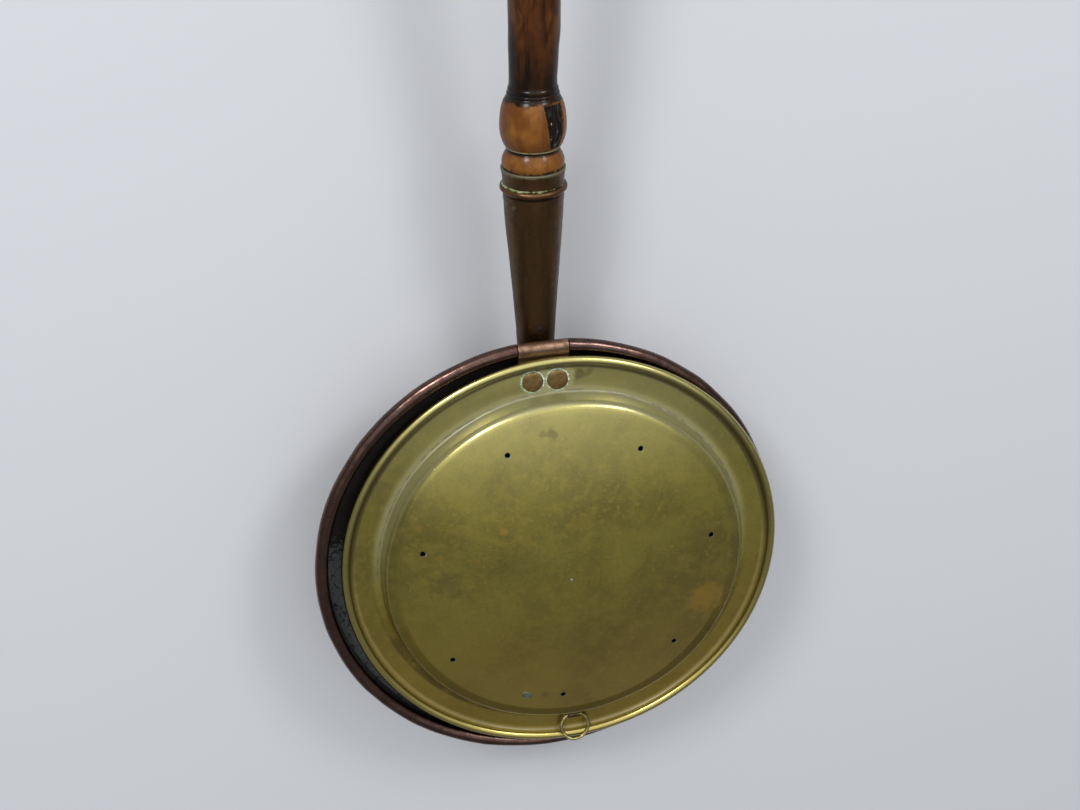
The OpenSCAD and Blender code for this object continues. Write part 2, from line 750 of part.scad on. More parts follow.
module hanging_eye() color("darkgoldenrod") on_handle() {
    translate([0, 0, eye_at])
        rotate([0, 90, 0])
            ring(eye_r, eye_wire_r);
    translate([0, 0, handle_end - eye_stem_l])
        cylinder(h = eye_stem_l + 2 * eye_wire_r, r = eye_wire_r - hair);
}

module hanging_ring() color("darkgoldenrod")
    translate([0, hang_y, hang_z - hang_r])
        rotate([90, 0, 0])
            ring(hang_r, hang_wire_r);

pan_bowl();
rim_wire();
hinge_pin();
lid_plate();
lid_edge_wire();
hinge_strap();
hinge_rivets();
ring_clip();
ring_pull();
lid_patch();
socket_plate();
socket_rivets();
ferrule();
ferrule_band();
ferrule_pin();
ferrule_nails();
wooden_handle();
hanging_eye();
hanging_ring();
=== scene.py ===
"""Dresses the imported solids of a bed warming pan: copper pan, brass lid, ferrule and turned handle.

Sizes are in millimetres, as a maker would write them, and become metres where a mesh is made.
The row frame has its origin under the middle of the pan's base, +Z up and +Y along the handle.
"""

import logging
import math
from collections.abc import Callable, Iterable, Sequence
from dataclasses import dataclass
from enum import Enum
from functools import cache

import bmesh
import bpy
from mathutils import Matrix, Vector, noise


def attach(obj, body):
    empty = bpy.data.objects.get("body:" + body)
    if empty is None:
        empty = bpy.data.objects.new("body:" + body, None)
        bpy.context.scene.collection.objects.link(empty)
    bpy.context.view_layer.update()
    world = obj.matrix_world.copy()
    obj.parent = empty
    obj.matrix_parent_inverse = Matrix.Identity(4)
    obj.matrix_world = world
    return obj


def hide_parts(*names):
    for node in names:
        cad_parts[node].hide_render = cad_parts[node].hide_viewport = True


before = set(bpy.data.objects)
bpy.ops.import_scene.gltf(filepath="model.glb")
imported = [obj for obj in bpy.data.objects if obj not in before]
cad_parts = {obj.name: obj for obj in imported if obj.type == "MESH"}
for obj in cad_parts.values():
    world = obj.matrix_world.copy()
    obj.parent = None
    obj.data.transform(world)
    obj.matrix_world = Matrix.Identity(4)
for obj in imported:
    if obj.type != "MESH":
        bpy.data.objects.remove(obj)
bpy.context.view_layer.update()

MM = 0.001
SMOOTH_ANGLE = math.radians(38)
FLAT = (1.0, 1.0, 0.0)
log = logging.getLogger("bed_warmer")

Point = tuple[float, float]
Point3 = tuple[float, float, float]
Profile = list[Point]
Warp = Callable[[float, float, float], Point]
Colour = tuple[float, float, float, float]
Piece = bpy.types.Object
Material = bpy.types.Material
Tree = bpy.types.NodeTree
Node = bpy.types.Node
Socket = bpy.types.NodeSocket
Sockets = dict[str, Socket]


class Body(Enum):
    """The bodies of the record that pieces ride on."""

    PAN = "pan"
    LID = "lid"
    PULL = "pull"
    HANGER = "hanger"


class Slot(Enum):
    """The record's material slots."""

    PAN = "copper_pan"
    FERRULE = "copper_ferrule"
    FITTINGS = "copper_fittings"
    LID = "brass_lid"
    BRASS = "brass_fittings"
    IRON = "iron"
    SOLDER = "solder"
    WOOD = "wood"


# ---------------------------------------------------------------------------
# Profiles and meshes
# ---------------------------------------------------------------------------


def arc(x: float, y: float, r: float, start: float, end: float, n: int) -> Profile:
    """Points on an arc.

    Args:
        x: Centre, across.
        y: Centre, up.
        r: Radius.
        start: First angle, in degrees.
        end: Last angle, in degrees.
        n: Number of steps.

    Returns:
        The n + 1 points from start to end.
    """
    turns = [math.radians(start + (end - start) * i / n) for i in range(n + 1)]
    return [(x + r * math.cos(t), y + r * math.sin(t)) for t in turns]


def line(start: Point, end: Point, n: int) -> Profile:
    """Evenly spaced points on a straight line.

    Args:
        start: First point.
        end: Last point.
        n: Number of steps.

    Returns:
        The n + 1 points from start to end.
    """
    return [tuple(a + (b - a) * i / n for a, b in zip(start, end)) for i in range(n + 1)]


def clamp(value: float) -> float:
    """A value held between 0 and 1.

    Args:
        value: The value.

    Returns:
        The held value.
    """
    return min(max(value, 0.0), 1.0)


def offset(x: float, y: float, z: float) -> Matrix:
    """A plain shift.

    Args:
        x: Shift to the right, in millimetres.
        y: Shift along Y, in millimetres.
        z: Shift upwards, in millimetres.

    Returns:
        The matrix, in metres.
    """
    return Matrix.Translation((x * MM, y * MM, z * MM))


def spun_sheet(path: Profile, thickness: float) -> Profile:
    """Outline of a spun sheet whose two faces both start on the axis.

    Args:
        path: Points along the middle of the sheet, from the axis outwards.
        thickness: Thickness of the sheet.

    Returns:
        The outline, from one face round the edge to the other.
    """
    outline = sheet_outline(path, thickness)
    return [(0.0, outline[0][1]), *outline[1:-1], (0.0, outline[-1][1])]


def sheet_outline(path: Profile, thickness: float) -> Profile:
    """Outline of a sheet whose middle follows a path, with a rounded far edge.

    Args:
        path: Points along the middle of the sheet.
        thickness: Thickness of the sheet.

    Returns:
        The left face from start to end, the edge, and the right face back to the start.
    """
    half = thickness / 2
    left: Profile = []
    right: Profile = []
    last = len(path) - 1
    for i, (x, y) in enumerate(path):
        ahead, behind = path[min(i + 1, last)], path[max(i - 1, 0)]
        dx, dy = ahead[0] - behind[0], ahead[1] - behind[1]
        length = math.hypot(dx, dy)
        nx, ny = -dy / length, dx / length
        left.append((x + nx * half, y + ny * half))
        right.append((x - nx * half, y - ny * half))
    (x, y), (px, py) = path[-1], path[-2]
    ahead_angle = math.degrees(math.atan2(y - py, x - px))
    tip = arc(x, y, half, ahead_angle + 90, ahead_angle - 90, 6)[1:-1]
    return left + tip + right[::-1]


def new_object(name: str, verts: Iterable[Sequence[float]], faces: Sequence[Sequence[int]]) -> Piece:
    """A mesh object from points in millimetres, with its faces turned outwards.

    Args:
        name: Name of the piece.
        verts: Points in millimetres.
        faces: Point numbers of each face.

    Returns:
        The new object, linked to the scene.
    """
    mesh = bpy.data.meshes.new(name)
    mesh.from_pydata([[c * MM for c in v] for v in verts], [], faces)
    work = bmesh.new()
    work.from_mesh(mesh)
    bmesh.ops.recalc_face_normals(work, faces=work.faces)
    work.to_mesh(mesh)
    work.free()
    piece = bpy.data.objects.new(name, mesh)
    bpy.context.scene.collection.objects.link(piece)
    return piece


def bridge(rings: Sequence[Sequence[int]], round_way: bool) -> list[list[int]]:
    """Faces between rings of points; a ring of one point is a pole.

    Args:
        rings: Point numbers of each ring, in order.
        round_way: Whether the last ring joins the first.

    Returns:
        Point numbers of each face.
    """
    faces: list[list[int]] = []
    pairs = list(zip(rings, rings[1:])) + ([(rings[-1], rings[0])] if round_way else [])
    for low, high in pairs:
        n = max(len(low), len(high))
        for i in range(n):
            j = (i + 1) % n
            if len(low) == 1 and len(high) > 1:
                faces.append([low[0], high[j], high[i]])
            elif len(high) == 1 and len(low) > 1:
                faces.append([low[i], low[j], high[0]])
            elif len(low) > 1:
                faces.append([low[i], low[j], high[j], high[i]])
    return faces


def lathe(name: str, outline: Profile, closed: bool, steps: int, warp: Warp | None = None) -> Piece:
    """A turned or spun piece about its own Z axis.

    Args:
        name: Name of the piece.
        outline: Radius and height of each point.
        closed: Whether the outline is a loop that stays off the axis.
        steps: Number of steps round the axis.
        warp: Extra radius and height from radius, height and angle.

    Returns:
        The new object.
    """
    verts: list[Point3] = []
    rings: list[list[int]] = []
    for r, z in outline:
        if r < 1e-6:
            rings.append([len(verts)])
            verts.append((0.0, 0.0, z))
            continue
        ring = []
        for i in range(steps):
            a = 2 * math.pi * i / steps
            dr, dz = warp(r, z, a) if warp else (0.0, 0.0)
            ring.append(len(verts))
            verts.append(((r + dr) * math.cos(a), (r + dr) * math.sin(a), z + dz))
        rings.append(ring)
    return new_object(name, verts, bridge(rings, closed))


def tube(name: str, path: Sequence[Vector], radius: float, sides: int) -> Piece:
    """A round wire bent along a closed path.

    Args:
        name: Name of the piece.
        path: Points along the middle of the wire.
        radius: Radius of the wire.
        sides: Number of steps round the wire.

    Returns:
        The new object.
    """
    verts: list[Vector] = []
    rings: list[list[int]] = []
    n = len(path)
    for i, point in enumerate(path):
        along = (path[(i + 1) % n] - path[i - 1]).normalized()
        side = along.cross(Vector((0, 0, 1))).normalized()
        up = side.cross(along)
        ring = []
        for k in range(sides):
            a = 2 * math.pi * k / sides
            ring.append(len(verts))
            verts.append(point + side * (radius * math.cos(a)) + up * (radius * math.sin(a)))
        rings.append(ring)
    return new_object(name, verts, bridge(rings, True))


def strip(
    name: str, section: Callable[[float], Profile], from_x: float, to_x: float, steps: int
) -> Piece:
    """A bent strip: a closed section in Y and Z, drawn along X.

    Args:
        name: Name of the piece.
        section: Outline of the section at a station along X.
        from_x: First station.
        to_x: Last station.
        steps: Number of steps along X.

    Returns:
        The new object.
    """
    verts: list[Point3] = []
    rings: list[list[int]] = []
    for i in range(steps + 1):
        x = from_x + (to_x - from_x) * i / steps
        ring = []
        for y, z in section(x):
            ring.append(len(verts))
            verts.append((x, y, z))
        rings.append(ring)
    faces = bridge(rings, False)
    faces += [rings[0][::-1], rings[-1]]
    return new_object(name, verts, faces)


def soft_run(keys: Profile, pitch: float) -> Profile:
    """A smooth curve through a few points.

    Args:
        keys: Points that the curve goes through.
        pitch: Longest distance between the points of the result.

    Returns:
        Points along the curve, the first and last keys among them.
    """
    run: Profile = []
    last = len(keys) - 1
    for i in range(last):
        before, start, end, after = keys[max(i - 1, 0)], keys[i], keys[i + 1], keys[min(i + 2, last)]
        steps = max(1, math.ceil(math.dist(start, end) / pitch))
        for k in range(steps):
            u = k / steps
            spot = []
            for a, b, c, d in zip(before, start, end, after):
                square, cube = 2 * a - 5 * b + 4 * c - d, 3 * b - a - 3 * c + d
                spot.append(0.5 * (2 * b + (c - a) * u + square * u**2 + cube * u**3))
            run.append(tuple(spot))
    return run + [keys[-1]]


def sway(piece: Piece, stations: Profile) -> None:
    """Moves a piece to the side along its own Z axis, as an old stick bends.

    Args:
        piece: The piece.
        stations: Height and shift to the right, in rising order.
    """
    for vertex in piece.data.vertices:
        z = vertex.co.z / MM
        shift = stations[0][1]
        for (low, first), (high, last) in zip(stations, stations[1:]):
            share = clamp((z - low) / (high - low))
            if share > 0.0:
                shift = first + (last - first) * share * share * (3 - 2 * share)
        vertex.co.x += shift * MM


def wave(a: float, turns: float, seed: float, height: float = 0.0) -> float:
    """Smooth unevenness of handwork round a circle.

    Args:
        a: Angle, in radians.
        turns: How busy the unevenness is.
        seed: Which pattern is taken.
        height: Place along the axis, in the same scale as turns.

    Returns:
        A value from about -1 to 1 that closes on itself round the circle.
    """
    return 2 * noise.noise(Vector((turns * math.cos(a), turns * math.sin(a), seed + height)))


def apply_modifiers(piece: Piece) -> None:
    """Turns a piece's modifiers into its mesh.

    Args:
        piece: The piece.
    """
    depsgraph = bpy.context.evaluated_depsgraph_get()
    mesh = bpy.data.meshes.new_from_object(piece.evaluated_get(depsgraph))
    piece.modifiers.clear()
    piece.data = mesh


def cut(piece: Piece, cutter: Piece) -> None:
    """Takes a cutter's volume out of a piece and deletes the cutter.

    Args:
        piece: The piece that is cut.
        cutter: The closed mesh that is taken away.
    """
    step = piece.modifiers.new("cut", "BOOLEAN")
    step.operation = "DIFFERENCE"
    step.solver = "EXACT"
    step.object = cutter
    apply_modifiers(piece)
    bpy.data.objects.remove(cutter)


def ease_edges(piece: Piece, width: float, angle: float = 40) -> None:
    """Rounds a piece's sharp edges a little, as filing and use do.

    Args:
        piece: The piece.
        width: Width of the rounding, in millimetres.
        angle: Edges sharper than this are rounded, in degrees.
    """
    step = piece.modifiers.new("ease", "BEVEL")
    step.width = width * MM
    step.segments = 2
    step.limit_method = "ANGLE"
    step.angle_limit = math.radians(angle)
    apply_modifiers(piece)


def settle(
    piece: Piece,
    seat: Matrix,
    body: Body,
    finish: Material,
    stands_for: Iterable[str] = (),
) -> Piece:
    """Puts a finished piece in its place on the frame.

    Args:
        piece: The piece.
        seat: The frame that it was made in.
        body: The body that it moves with.
        finish: Its material.
        stands_for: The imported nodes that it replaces.

    Returns:
        The same piece.
    """
    piece.data.materials.clear()
    piece.data.materials.append(finish)
    piece.data.shade_smooth()
    piece.data.set_sharp_from_angle(angle=SMOOTH_ANGLE)
    piece.matrix_world = seat
    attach(piece, body.value)
    names = tuple(stands_for)
    if names:
        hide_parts(*names)
    log.info("%s: %d faces, on %s", piece.name, len(piece.data.polygons), body.value)
    return piece


def dress_node(name: str, finish: Material) -> None:
    """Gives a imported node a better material.

    Args:
        name: The node.
        finish: Its material.
    """
    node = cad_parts[name]
    node.data.materials.clear()
    node.data.materials.append(finish)
    log.info("%s: packed node, dressed", name)


# ---------------------------------------------------------------------------
# Node trees
# ---------------------------------------------------------------------------


def paint(red: float, green: float, blue: float) -> Colour:
    """A colour from screen values of 0 to 255.

    Args:
        red: Red on the screen.
        green: Green on the screen.
        blue: Blue on the screen.

    Returns:
        The same colour in linear light, with alpha.
    """
    parts = [c / 255 for c in (red, green, blue)]
    linear = [c / 12.92 if c < 0.04045 else ((c + 0.055) / 1.055) ** 2.4 for c in parts]
    return (*linear, 1.0)


class Graph:
    """Short ways to add and join the nodes of one tree."""

    def __init__(self, tree: Tree) -> None:
        """Keeps the tree that nodes go into.

        Args:
            tree: The tree that is filled.
        """
        self.tree = tree

    def add(self, kind: str, values: dict | None = None, **settings: object) -> Node:
        """Adds one node.

        Args:
            kind: The node's type, without the ShaderNode in front.
            values: Input name or number to a value or a socket.
            settings: The node's own settings.

        Returns:
            The new node.
        """
        node = self.tree.nodes.new("ShaderNode" + kind)
        for key, value in settings.items():
            setattr(node, key, value)
        for key, value in (values or {}).items():
            self.feed(node.inputs[key], value)
        return node

    def feed(self, entry: Socket, value: object) -> None:
        """Joins a socket to an input, or writes a plain value on it.

        Args:
            entry: The input.
            value: A socket, or a plain value.
        """
        if isinstance(value, bpy.types.NodeSocket):
            self.tree.links.new(value, entry)
        else:
            entry.default_value = value

    def math(self, operation: str, a: object, b: object = 0.0, c: object = 0.0) -> Socket:
        """One sum of up to three values.

        Args:
            operation: The Math node's operation.
            a: First value.
            b: Second value.
            c: Third value.

        Returns:
            The result.
        """
        return self.add("Math", {0: a, 1: b, 2: c}, operation=operation).outputs[0]

    def mul(self, first: object, *others: object) -> Socket:
        """A product.

        Args:
            first: First value.
            others: The values that it is multiplied by, in turn.

        Returns:
            The result.
        """
        for other in others:
            first = self.math("MULTIPLY", first, other)
        return first

    def plus(self, a: object, b: object) -> Socket:
        """A sum.

        Args:
            a: First value.
            b: Second value.

        Returns:
            The result.
        """
        return self.math("ADD", a, b)

    def sub(self, a: object, b: object) -> Socket:
        """A difference.

        Args:
            a: First value.
            b: The value that is taken away.

        Returns:
            The result.
        """
        return self.math("SUBTRACT", a, b)

    def invert(self, a: object) -> Socket:
        """What a mask leaves out.

        Args:
            a: The mask.

        Returns:
            One minus the mask.
        """
        return self.sub(1.0, a)

    def apart(self, a: object, b: object) -> Socket:
        """How far two values are apart.

        Args:
            a: First value.
            b: Second value.

        Returns:
            The distance.
        """
        return self.math("ABSOLUTE", self.sub(a, b))

    def mad(self, a: object, b: object, c: object) -> Socket:
        """A product with a third value added.

        Args:
            a: First value.
            b: Second value.
            c: The value that is added.

        Returns:
            The result.
        """
        return self.math("MULTIPLY_ADD", a, b, c)

    def vector(self, operation: str, a: object, b: object = (0.0, 0.0, 0.0)) -> Socket:
        """One sum of vectors; lengths and distances come out as numbers.

        Args:
            operation: The Vector Math node's operation.
            a: First vector.
            b: Second vector.

        Returns:
            The result.
        """
        node = self.add("VectorMath", {0: a, 1: b}, operation=operation)
        return node.outputs["Value" if operation in ("LENGTH", "DISTANCE", "DOT_PRODUCT") else "Vector"]

    def step(
        self, value: object, low: object, high: object, first: float = 0.0, last: float = 1.0
    ) -> Socket:
        """A smooth step between two values.

        Args:
            value: The value that runs.
            low: Where the step begins.
            high: Where it ends.
            first: Result below low.
            last: Result above high.

        Returns:
            The stepped value.
        """
        entries = {"Value": value, "From Min": low, "From Max": high, "To Min": first, "To Max": last}
        return self.add("MapRange", entries, interpolation_type="SMOOTHSTEP").outputs["Result"]

    def fall(self, value: object, low: object, high: object) -> Socket:
        """A smooth step from 1 down to 0.

        Args:
            value: The value that runs.
            low: Up to where the result is 1.
            high: From where it is 0.

        Returns:
            The stepped value.
        """
        return self.step(value, low, high, 1.0, 0.0)

    def mix(self, share: object, a: object, b: object, blend: str = "MIX") -> Socket:
        """Two colours mixed.

        Args:
            share: Share of the second colour.
            a: First colour.
            b: Second colour.
            blend: The Mix node's blend type.

        Returns:
            The mixed colour.
        """
        node = self.add("Mix", data_type="RGBA", blend_type=blend)
        for entry, value in ((node.inputs[0], share), (node.inputs[6], a), (node.inputs[7], b)):
            self.feed(entry, value)
        return node.outputs[2]

    def noise(self, vector: object, scale: object, detail: float = 3.0, distortion: float = 0.0) -> Socket:
        """Cloudy noise from 0 to 1.

        Args:
            vector: Where it is read.
            scale: Its scale.
            detail: How many finer layers it has.
            distortion: How much it swirls.

        Returns:
            The noise's value.
        """
        entries = {"Vector": vector, "Scale": scale, "Detail": detail, "Distortion": distortion}
        return self.add("TexNoise", entries).outputs["Fac"]

    def most(self, *masks: object) -> Socket:
        """The highest of several masks at each place.

        Args:
            masks: The masks.

        Returns:
            The highest mask.
        """
        top = masks[0]
        for mask in masks[1:]:
            top = self.math("MAXIMUM", top, mask)
        return top

    def place(self, tree: Tree, values: dict) -> Node:
        """Puts a shared effect into this tree.

        Args:
            tree: The effect's own tree.
            values: Input name to a value or a socket.

        Returns:
            The group node.
        """
        node = self.tree.nodes.new("ShaderNodeGroup")
        node.node_tree = tree
        for key, value in values.items():
            self.feed(node.inputs[key], value)
        return node


class Kind(Enum):
    """Kinds of group socket."""

    NUMBER = "NodeSocketFloat"
    VECTOR = "NodeSocketVector"
    COLOUR = "NodeSocketColor"


def new_effect(
    name: str, inputs: dict[str, Kind], outputs: dict[str, Kind]
) -> tuple[Graph, Sockets, Sockets]:
    """Starts a shared effect.

    Args:
        name: Name of the effect.
        inputs: Input name to its kind.
        outputs: Output name to its kind.

    Returns:
        The effect's graph, its inputs inside, and its outputs inside.
    """
    tree = bpy.data.node_groups.new(name, "ShaderNodeTree")
    for entry, kind in inputs.items():
        tree.interface.new_socket(entry, in_out="INPUT", socket_type=kind.value)
    for entry, kind in outputs.items():
        tree.interface.new_socket(entry, in_out="OUTPUT", socket_type=kind.value)
    source = tree.nodes.new("NodeGroupInput")
    target = tree.nodes.new("NodeGroupOutput")
    return (
        Graph(tree),
        {entry: source.outputs[entry] for entry in inputs},
        {entry: target.inputs[entry] for entry in outputs},
    )


@cache
def mottle() -> Tree:
    """Cloudy patches, from a vector in millimetres.

    Returns:
        The effect's node tree.
    """
    entries = {"Vector": Kind.VECTOR, "Scale": Kind.NUMBER, "Low": Kind.NUMBER, "High": Kind.NUMBER}
    g, given, out = new_effect("mottle", entries, {"Mask": Kind.NUMBER})
    cloud = g.noise(given["Vector"], given["Scale"], 5.0, 0.4)
    g.feed(out["Mask"], g.step(cloud, given["Low"], given["High"]))
    return g.tree


@cache
def hairlines() -> Tree:
    """Fine scratches that run three ways, from a vector in millimetres.

    Returns:
        The effect's node tree.
    """
    entries = {"Vector": Kind.VECTOR, "Scale": Kind.NUMBER, "Width": Kind.NUMBER}
    g, given, out = new_effect("hairlines", entries, {"Mask": Kind.NUMBER})
    masks = []
    for turn, reach in ((0.35, 26.0), (1.35, 34.0), (2.45, 22.0)):
        values = {"Vector": given["Vector"], "Angle": turn}
        turned = g.add("VectorRotate", values, rotation_type="Z_AXIS").outputs[0]
        drawn = g.vector("MULTIPLY", turned, (1.0, reach, 1.0))
        streak = g.noise(drawn, given["Scale"], 1.0, 0.15)
        middle = g.apart(streak, 0.5)
        ragged = g.step(g.noise(g.vector("ADD", turned, (7.0 * turn, 3.0, 1.0)), 0.11, 1.0), 0.5, 0.62)
        masks.append(g.mul(g.fall(middle, 0.0, given["Width"]), ragged))
    g.feed(out["Mask"], g.most(*masks))
    return g.tree


@cache
def crust() -> Tree:
    """Crumbly growth, such as verdigris, where a given mask lets it.

    Returns:
        The effect's node tree.
    """
    entries = {"Vector": Kind.VECTOR, "Where": Kind.NUMBER, "Grain": Kind.NUMBER}
    g, given, out = new_effect("crust", entries, {"Mask": Kind.NUMBER, "Height": Kind.NUMBER})
    coarse = g.noise(given["Vector"], given["Grain"], 6.0, 0.6)
    fine = g.noise(given["Vector"], g.mul(given["Grain"], 6.0), 3.0)
    grown = g.plus(given["Where"], g.sub(coarse, 1.0))
    mask = g.step(grown, -0.08, 0.1)
    g.feed(out["Mask"], mask)
    g.feed(out["Height"], g.mul(mask, g.plus(0.5, g.mul(fine, 0.5))))
    return g.tree


@cache
def blot() -> Tree:
    """One soft stain with ragged edges, from a vector in millimetres.

    Returns:
        The effect's node tree.
    """
    entries = {"Vector": Kind.VECTOR, "Centre": Kind.VECTOR, "Size": Kind.NUMBER, "Ragged": Kind.NUMBER}
    g, given, out = new_effect("blot", entries, {"Mask": Kind.NUMBER})
    apart = g.vector("DISTANCE", given["Vector"], given["Centre"])
    rough = g.sub(g.noise(given["Vector"], 0.22, 4.0), 0.5)
    reach = g.mad(g.mul(rough, given["Ragged"]), given["Size"], apart)
    g.feed(out["Mask"], g.fall(reach, g.mul(given["Size"], 0.35), given["Size"]))
    return g.tree


@cache
def scribe() -> Tree:
    """A faint line of a pair of compasses, from a vector in millimetres.

    Returns:
        The effect's node tree.
    """
    entries = {
        "Vector": Kind.VECTOR, "Centre": Kind.VECTOR, "Radius": Kind.NUMBER,
        "Width": Kind.NUMBER, "Towards": Kind.VECTOR, "Spread": Kind.NUMBER,
    }
    g, given, out = new_effect("scribe", entries, {"Mask": Kind.NUMBER})
    ray = g.vector("SUBTRACT", given["Vector"], given["Centre"])
    flat = g.vector("MULTIPLY", ray, FLAT)
    off = g.apart(g.vector("LENGTH", flat), given["Radius"])
    drawn = g.fall(off, 0.0, given["Width"])
    facing = g.vector("DOT_PRODUCT", g.vector("NORMALIZE", flat), given["Towards"])
    ends = g.step(facing, given["Spread"], g.plus(given["Spread"], 0.04))
    patchy = g.step(g.noise(given["Vector"], 0.3, 3.0), 0.25, 0.6, 0.35, 1.0)
    g.feed(out["Mask"], g.mul(drawn, ends, patchy))
    return g.tree


@cache
def speckle() -> Tree:
    """Small scattered pits or dots, from a vector in millimetres.

    Returns:
        The effect's node tree.
    """
    entries = {"Vector": Kind.VECTOR, "Scale": Kind.NUMBER, "Size": Kind.NUMBER, "Share": Kind.NUMBER}
    g, given, out = new_effect("speckle", entries, {"Mask": Kind.NUMBER})
    cell = g.add("TexVoronoi", {"Vector": given["Vector"], "Scale": given["Scale"]})
    tint = g.add("SeparateColor", {"Color": cell.outputs["Color"]}).outputs["Red"]
    near = g.fall(cell.outputs["Distance"], g.mul(given["Size"], 0.4), given["Size"])
    kept = g.math("LESS_THAN", tint, given["Share"])
    g.feed(out["Mask"], g.mul(near, kept))
    return g.tree


@cache
def wood_grain() -> Tree:
    """Streaks and pores along Z, from a vector in millimetres.

    Returns:
        The effect's node tree.
    """
    entries = {"Vector": Kind.VECTOR, "Scale": Kind.NUMBER}
    g, given, out = new_effect("wood_grain", entries, {"Streak": Kind.NUMBER, "Pores": Kind.NUMBER})
    coarse = g.vector("MULTIPLY", given["Vector"], (1.0, 1.0, 0.13))
    fine = g.vector("MULTIPLY", given["Vector"], (1.0, 1.0, 0.03))
    short = g.vector("MULTIPLY", given["Vector"], (1.0, 1.0, 0.12))
    cloud = g.noise(coarse, given["Scale"], 5.0, 1.2)
    line_marks = g.noise(fine, g.mul(given["Scale"], 6.0), 3.0, 0.4)
    dots = g.noise(short, g.mul(given["Scale"], 16.0), 1.0)
    g.feed(out["Streak"], g.plus(g.mul(cloud, 0.75), g.mul(line_marks, 0.25)))
    g.feed(out["Pores"], g.step(dots, 0.66, 0.74))
    return g.tree


# ---------------------------------------------------------------------------
# Finishes
# ---------------------------------------------------------------------------

# Pale verdigris; also the colour of the painted highlight on the air holes' lips.
VERDIGRIS_AND_HIGHLIGHT: Colour = paint(160, 178, 146)
# Soot colour; also used for painted shade on the pan's ledge and under the ferrule's band.
SOOT_AND_SHADE = paint(20, 17, 15)


class Coat:
    """The common end of every finish: one Principled BSDF with its bump."""

    def __init__(self, name: str, fixed: dict[str, float]) -> None:
        """Starts a material.

        Args:
            name: Name of the material.
            fixed: Shader sockets that are the same all over.
        """
        self.material = bpy.data.materials.new(name)
        self.material.use_nodes = True
        self.graph = Graph(self.material.node_tree)
        self.shader = self.material.node_tree.nodes["Principled BSDF"]
        for key, value in fixed.items():
            self.shader.inputs[key].default_value = value
        local = self.graph.add("TexCoord").outputs["Object"]
        self.mm = self.graph.vector("MULTIPLY", local, (1 / MM, 1 / MM, 1 / MM))

    def axes(self) -> tuple[Socket, Socket, Socket, Socket]:
        """X, Y, Z and the distance from the Z axis, in millimetres.

        Returns:
            The four sockets.
        """
        parts = self.graph.add("SeparateXYZ", {"Vector": self.mm}).outputs
        flat = self.graph.vector("MULTIPLY", self.mm, FLAT)
        return parts["X"], parts["Y"], parts["Z"], self.graph.vector("LENGTH", flat)

    def clouds(self, scale: float, low: float, high: float, where: Socket | None = None) -> Socket:
        """Cloudy patches.

        Args:
            scale: Scale of the patches.
            low: Noise up to which there is none.
            high: Noise from which they are full.
            where: Place in millimetres, or None for the piece's own.

        Returns:
            The mask.
        """
        values = {"Vector": where or self.mm, "Scale": scale, "Low": low, "High": high}
        return self.graph.place(mottle(), values).outputs[0]

    def scratches(self, scale: float, width: float, where: Socket | None = None) -> Socket:
        """Fine scratches.

        Args:
            scale: Scale of the scratches.
            width: Their width.
            where: Place in millimetres, or None for the piece's own.

        Returns:
            The mask.
        """
        values = {"Vector": where or self.mm, "Scale": scale, "Width": width}
        return self.graph.place(hairlines(), values).outputs[0]

    def dots(self, scale: float, size: float, share: float, where: Socket | None = None) -> Socket:
        """Scattered dots.

        Args:
            scale: How close they are.
            size: Size of a dot.
            share: Share of the places that have one.
            where: Place in millimetres, or None for the piece's own.

        Returns:
            The mask.
        """
        values = {"Vector": where or self.mm, "Scale": scale, "Size": size, "Share": share}
        return self.graph.place(speckle(), values).outputs[0]

    def growth(self, where: object, grain: float) -> Node:
        """Crumbly crust.

        Args:
            where: Mask of where it grows.
            grain: Scale of its crumbs.

        Returns:
            The node, with a mask and a height.
        """
        return self.graph.place(crust(), {"Vector": self.mm, "Where": where, "Grain": grain})

    def close(
        self,
        colour: Socket,
        roughness: Socket,
        height: Socket,
        depth: float,
        metallic: Socket | None = None,
    ) -> Material:
        """Joins the finish to its shader.

        Args:
            colour: Base colour.
            roughness: Roughness.
            height: Height for the bump, from 0 to 1.
            depth: What a height of 1 stands for, in millimetres.
            metallic: Where the surface is bare metal.

        Returns:
            The finished material.
        """
        g = self.graph
        bump = g.add("Bump", {"Height": height, "Distance": depth * MM, "Strength": 1.0})
        g.feed(self.shader.inputs["Base Color"], colour)
        g.feed(self.shader.inputs["Roughness"], roughness)
        g.feed(self.shader.inputs["Normal"], bump.outputs["Normal"])
        if metallic is not None:
            g.feed(self.shader.inputs["Metallic"], metallic)
        return self.material


@dataclass(frozen=True)
class Stain:
    """One stain on the lid: where it is, how wide, and how strong."""

    x: float
    y: float
    size: float
    share: float


@dataclass(frozen=True)
class WornArc:
    """What is left of a compass line: its two ends and how far it bows to its left."""

    start: Point
    end: Point
    bow: float

    def circle(self) -> tuple[Vector, float, Vector, float]:
        """Centre, radius, direction to the arc's middle, and cosine of half its angle.

        Returns:
            The four values.
        """
        first, last = Vector((*self.start, 0.0)), Vector((*self.end, 0.0))
        half = (last - first).length / 2
        side = Vector((0.0, 0.0, 1.0)).cross(last - first).normalized()
        radius = (half**2 + self.bow**2) / (2 * abs(self.bow))
        facing = side * math.copysign(1.0, self.bow)
        centre = (first + last) / 2 + facing * (abs(self.bow) - radius)
        return centre, radius, facing, math.cos(math.asin(min(half / radius, 1.0)))


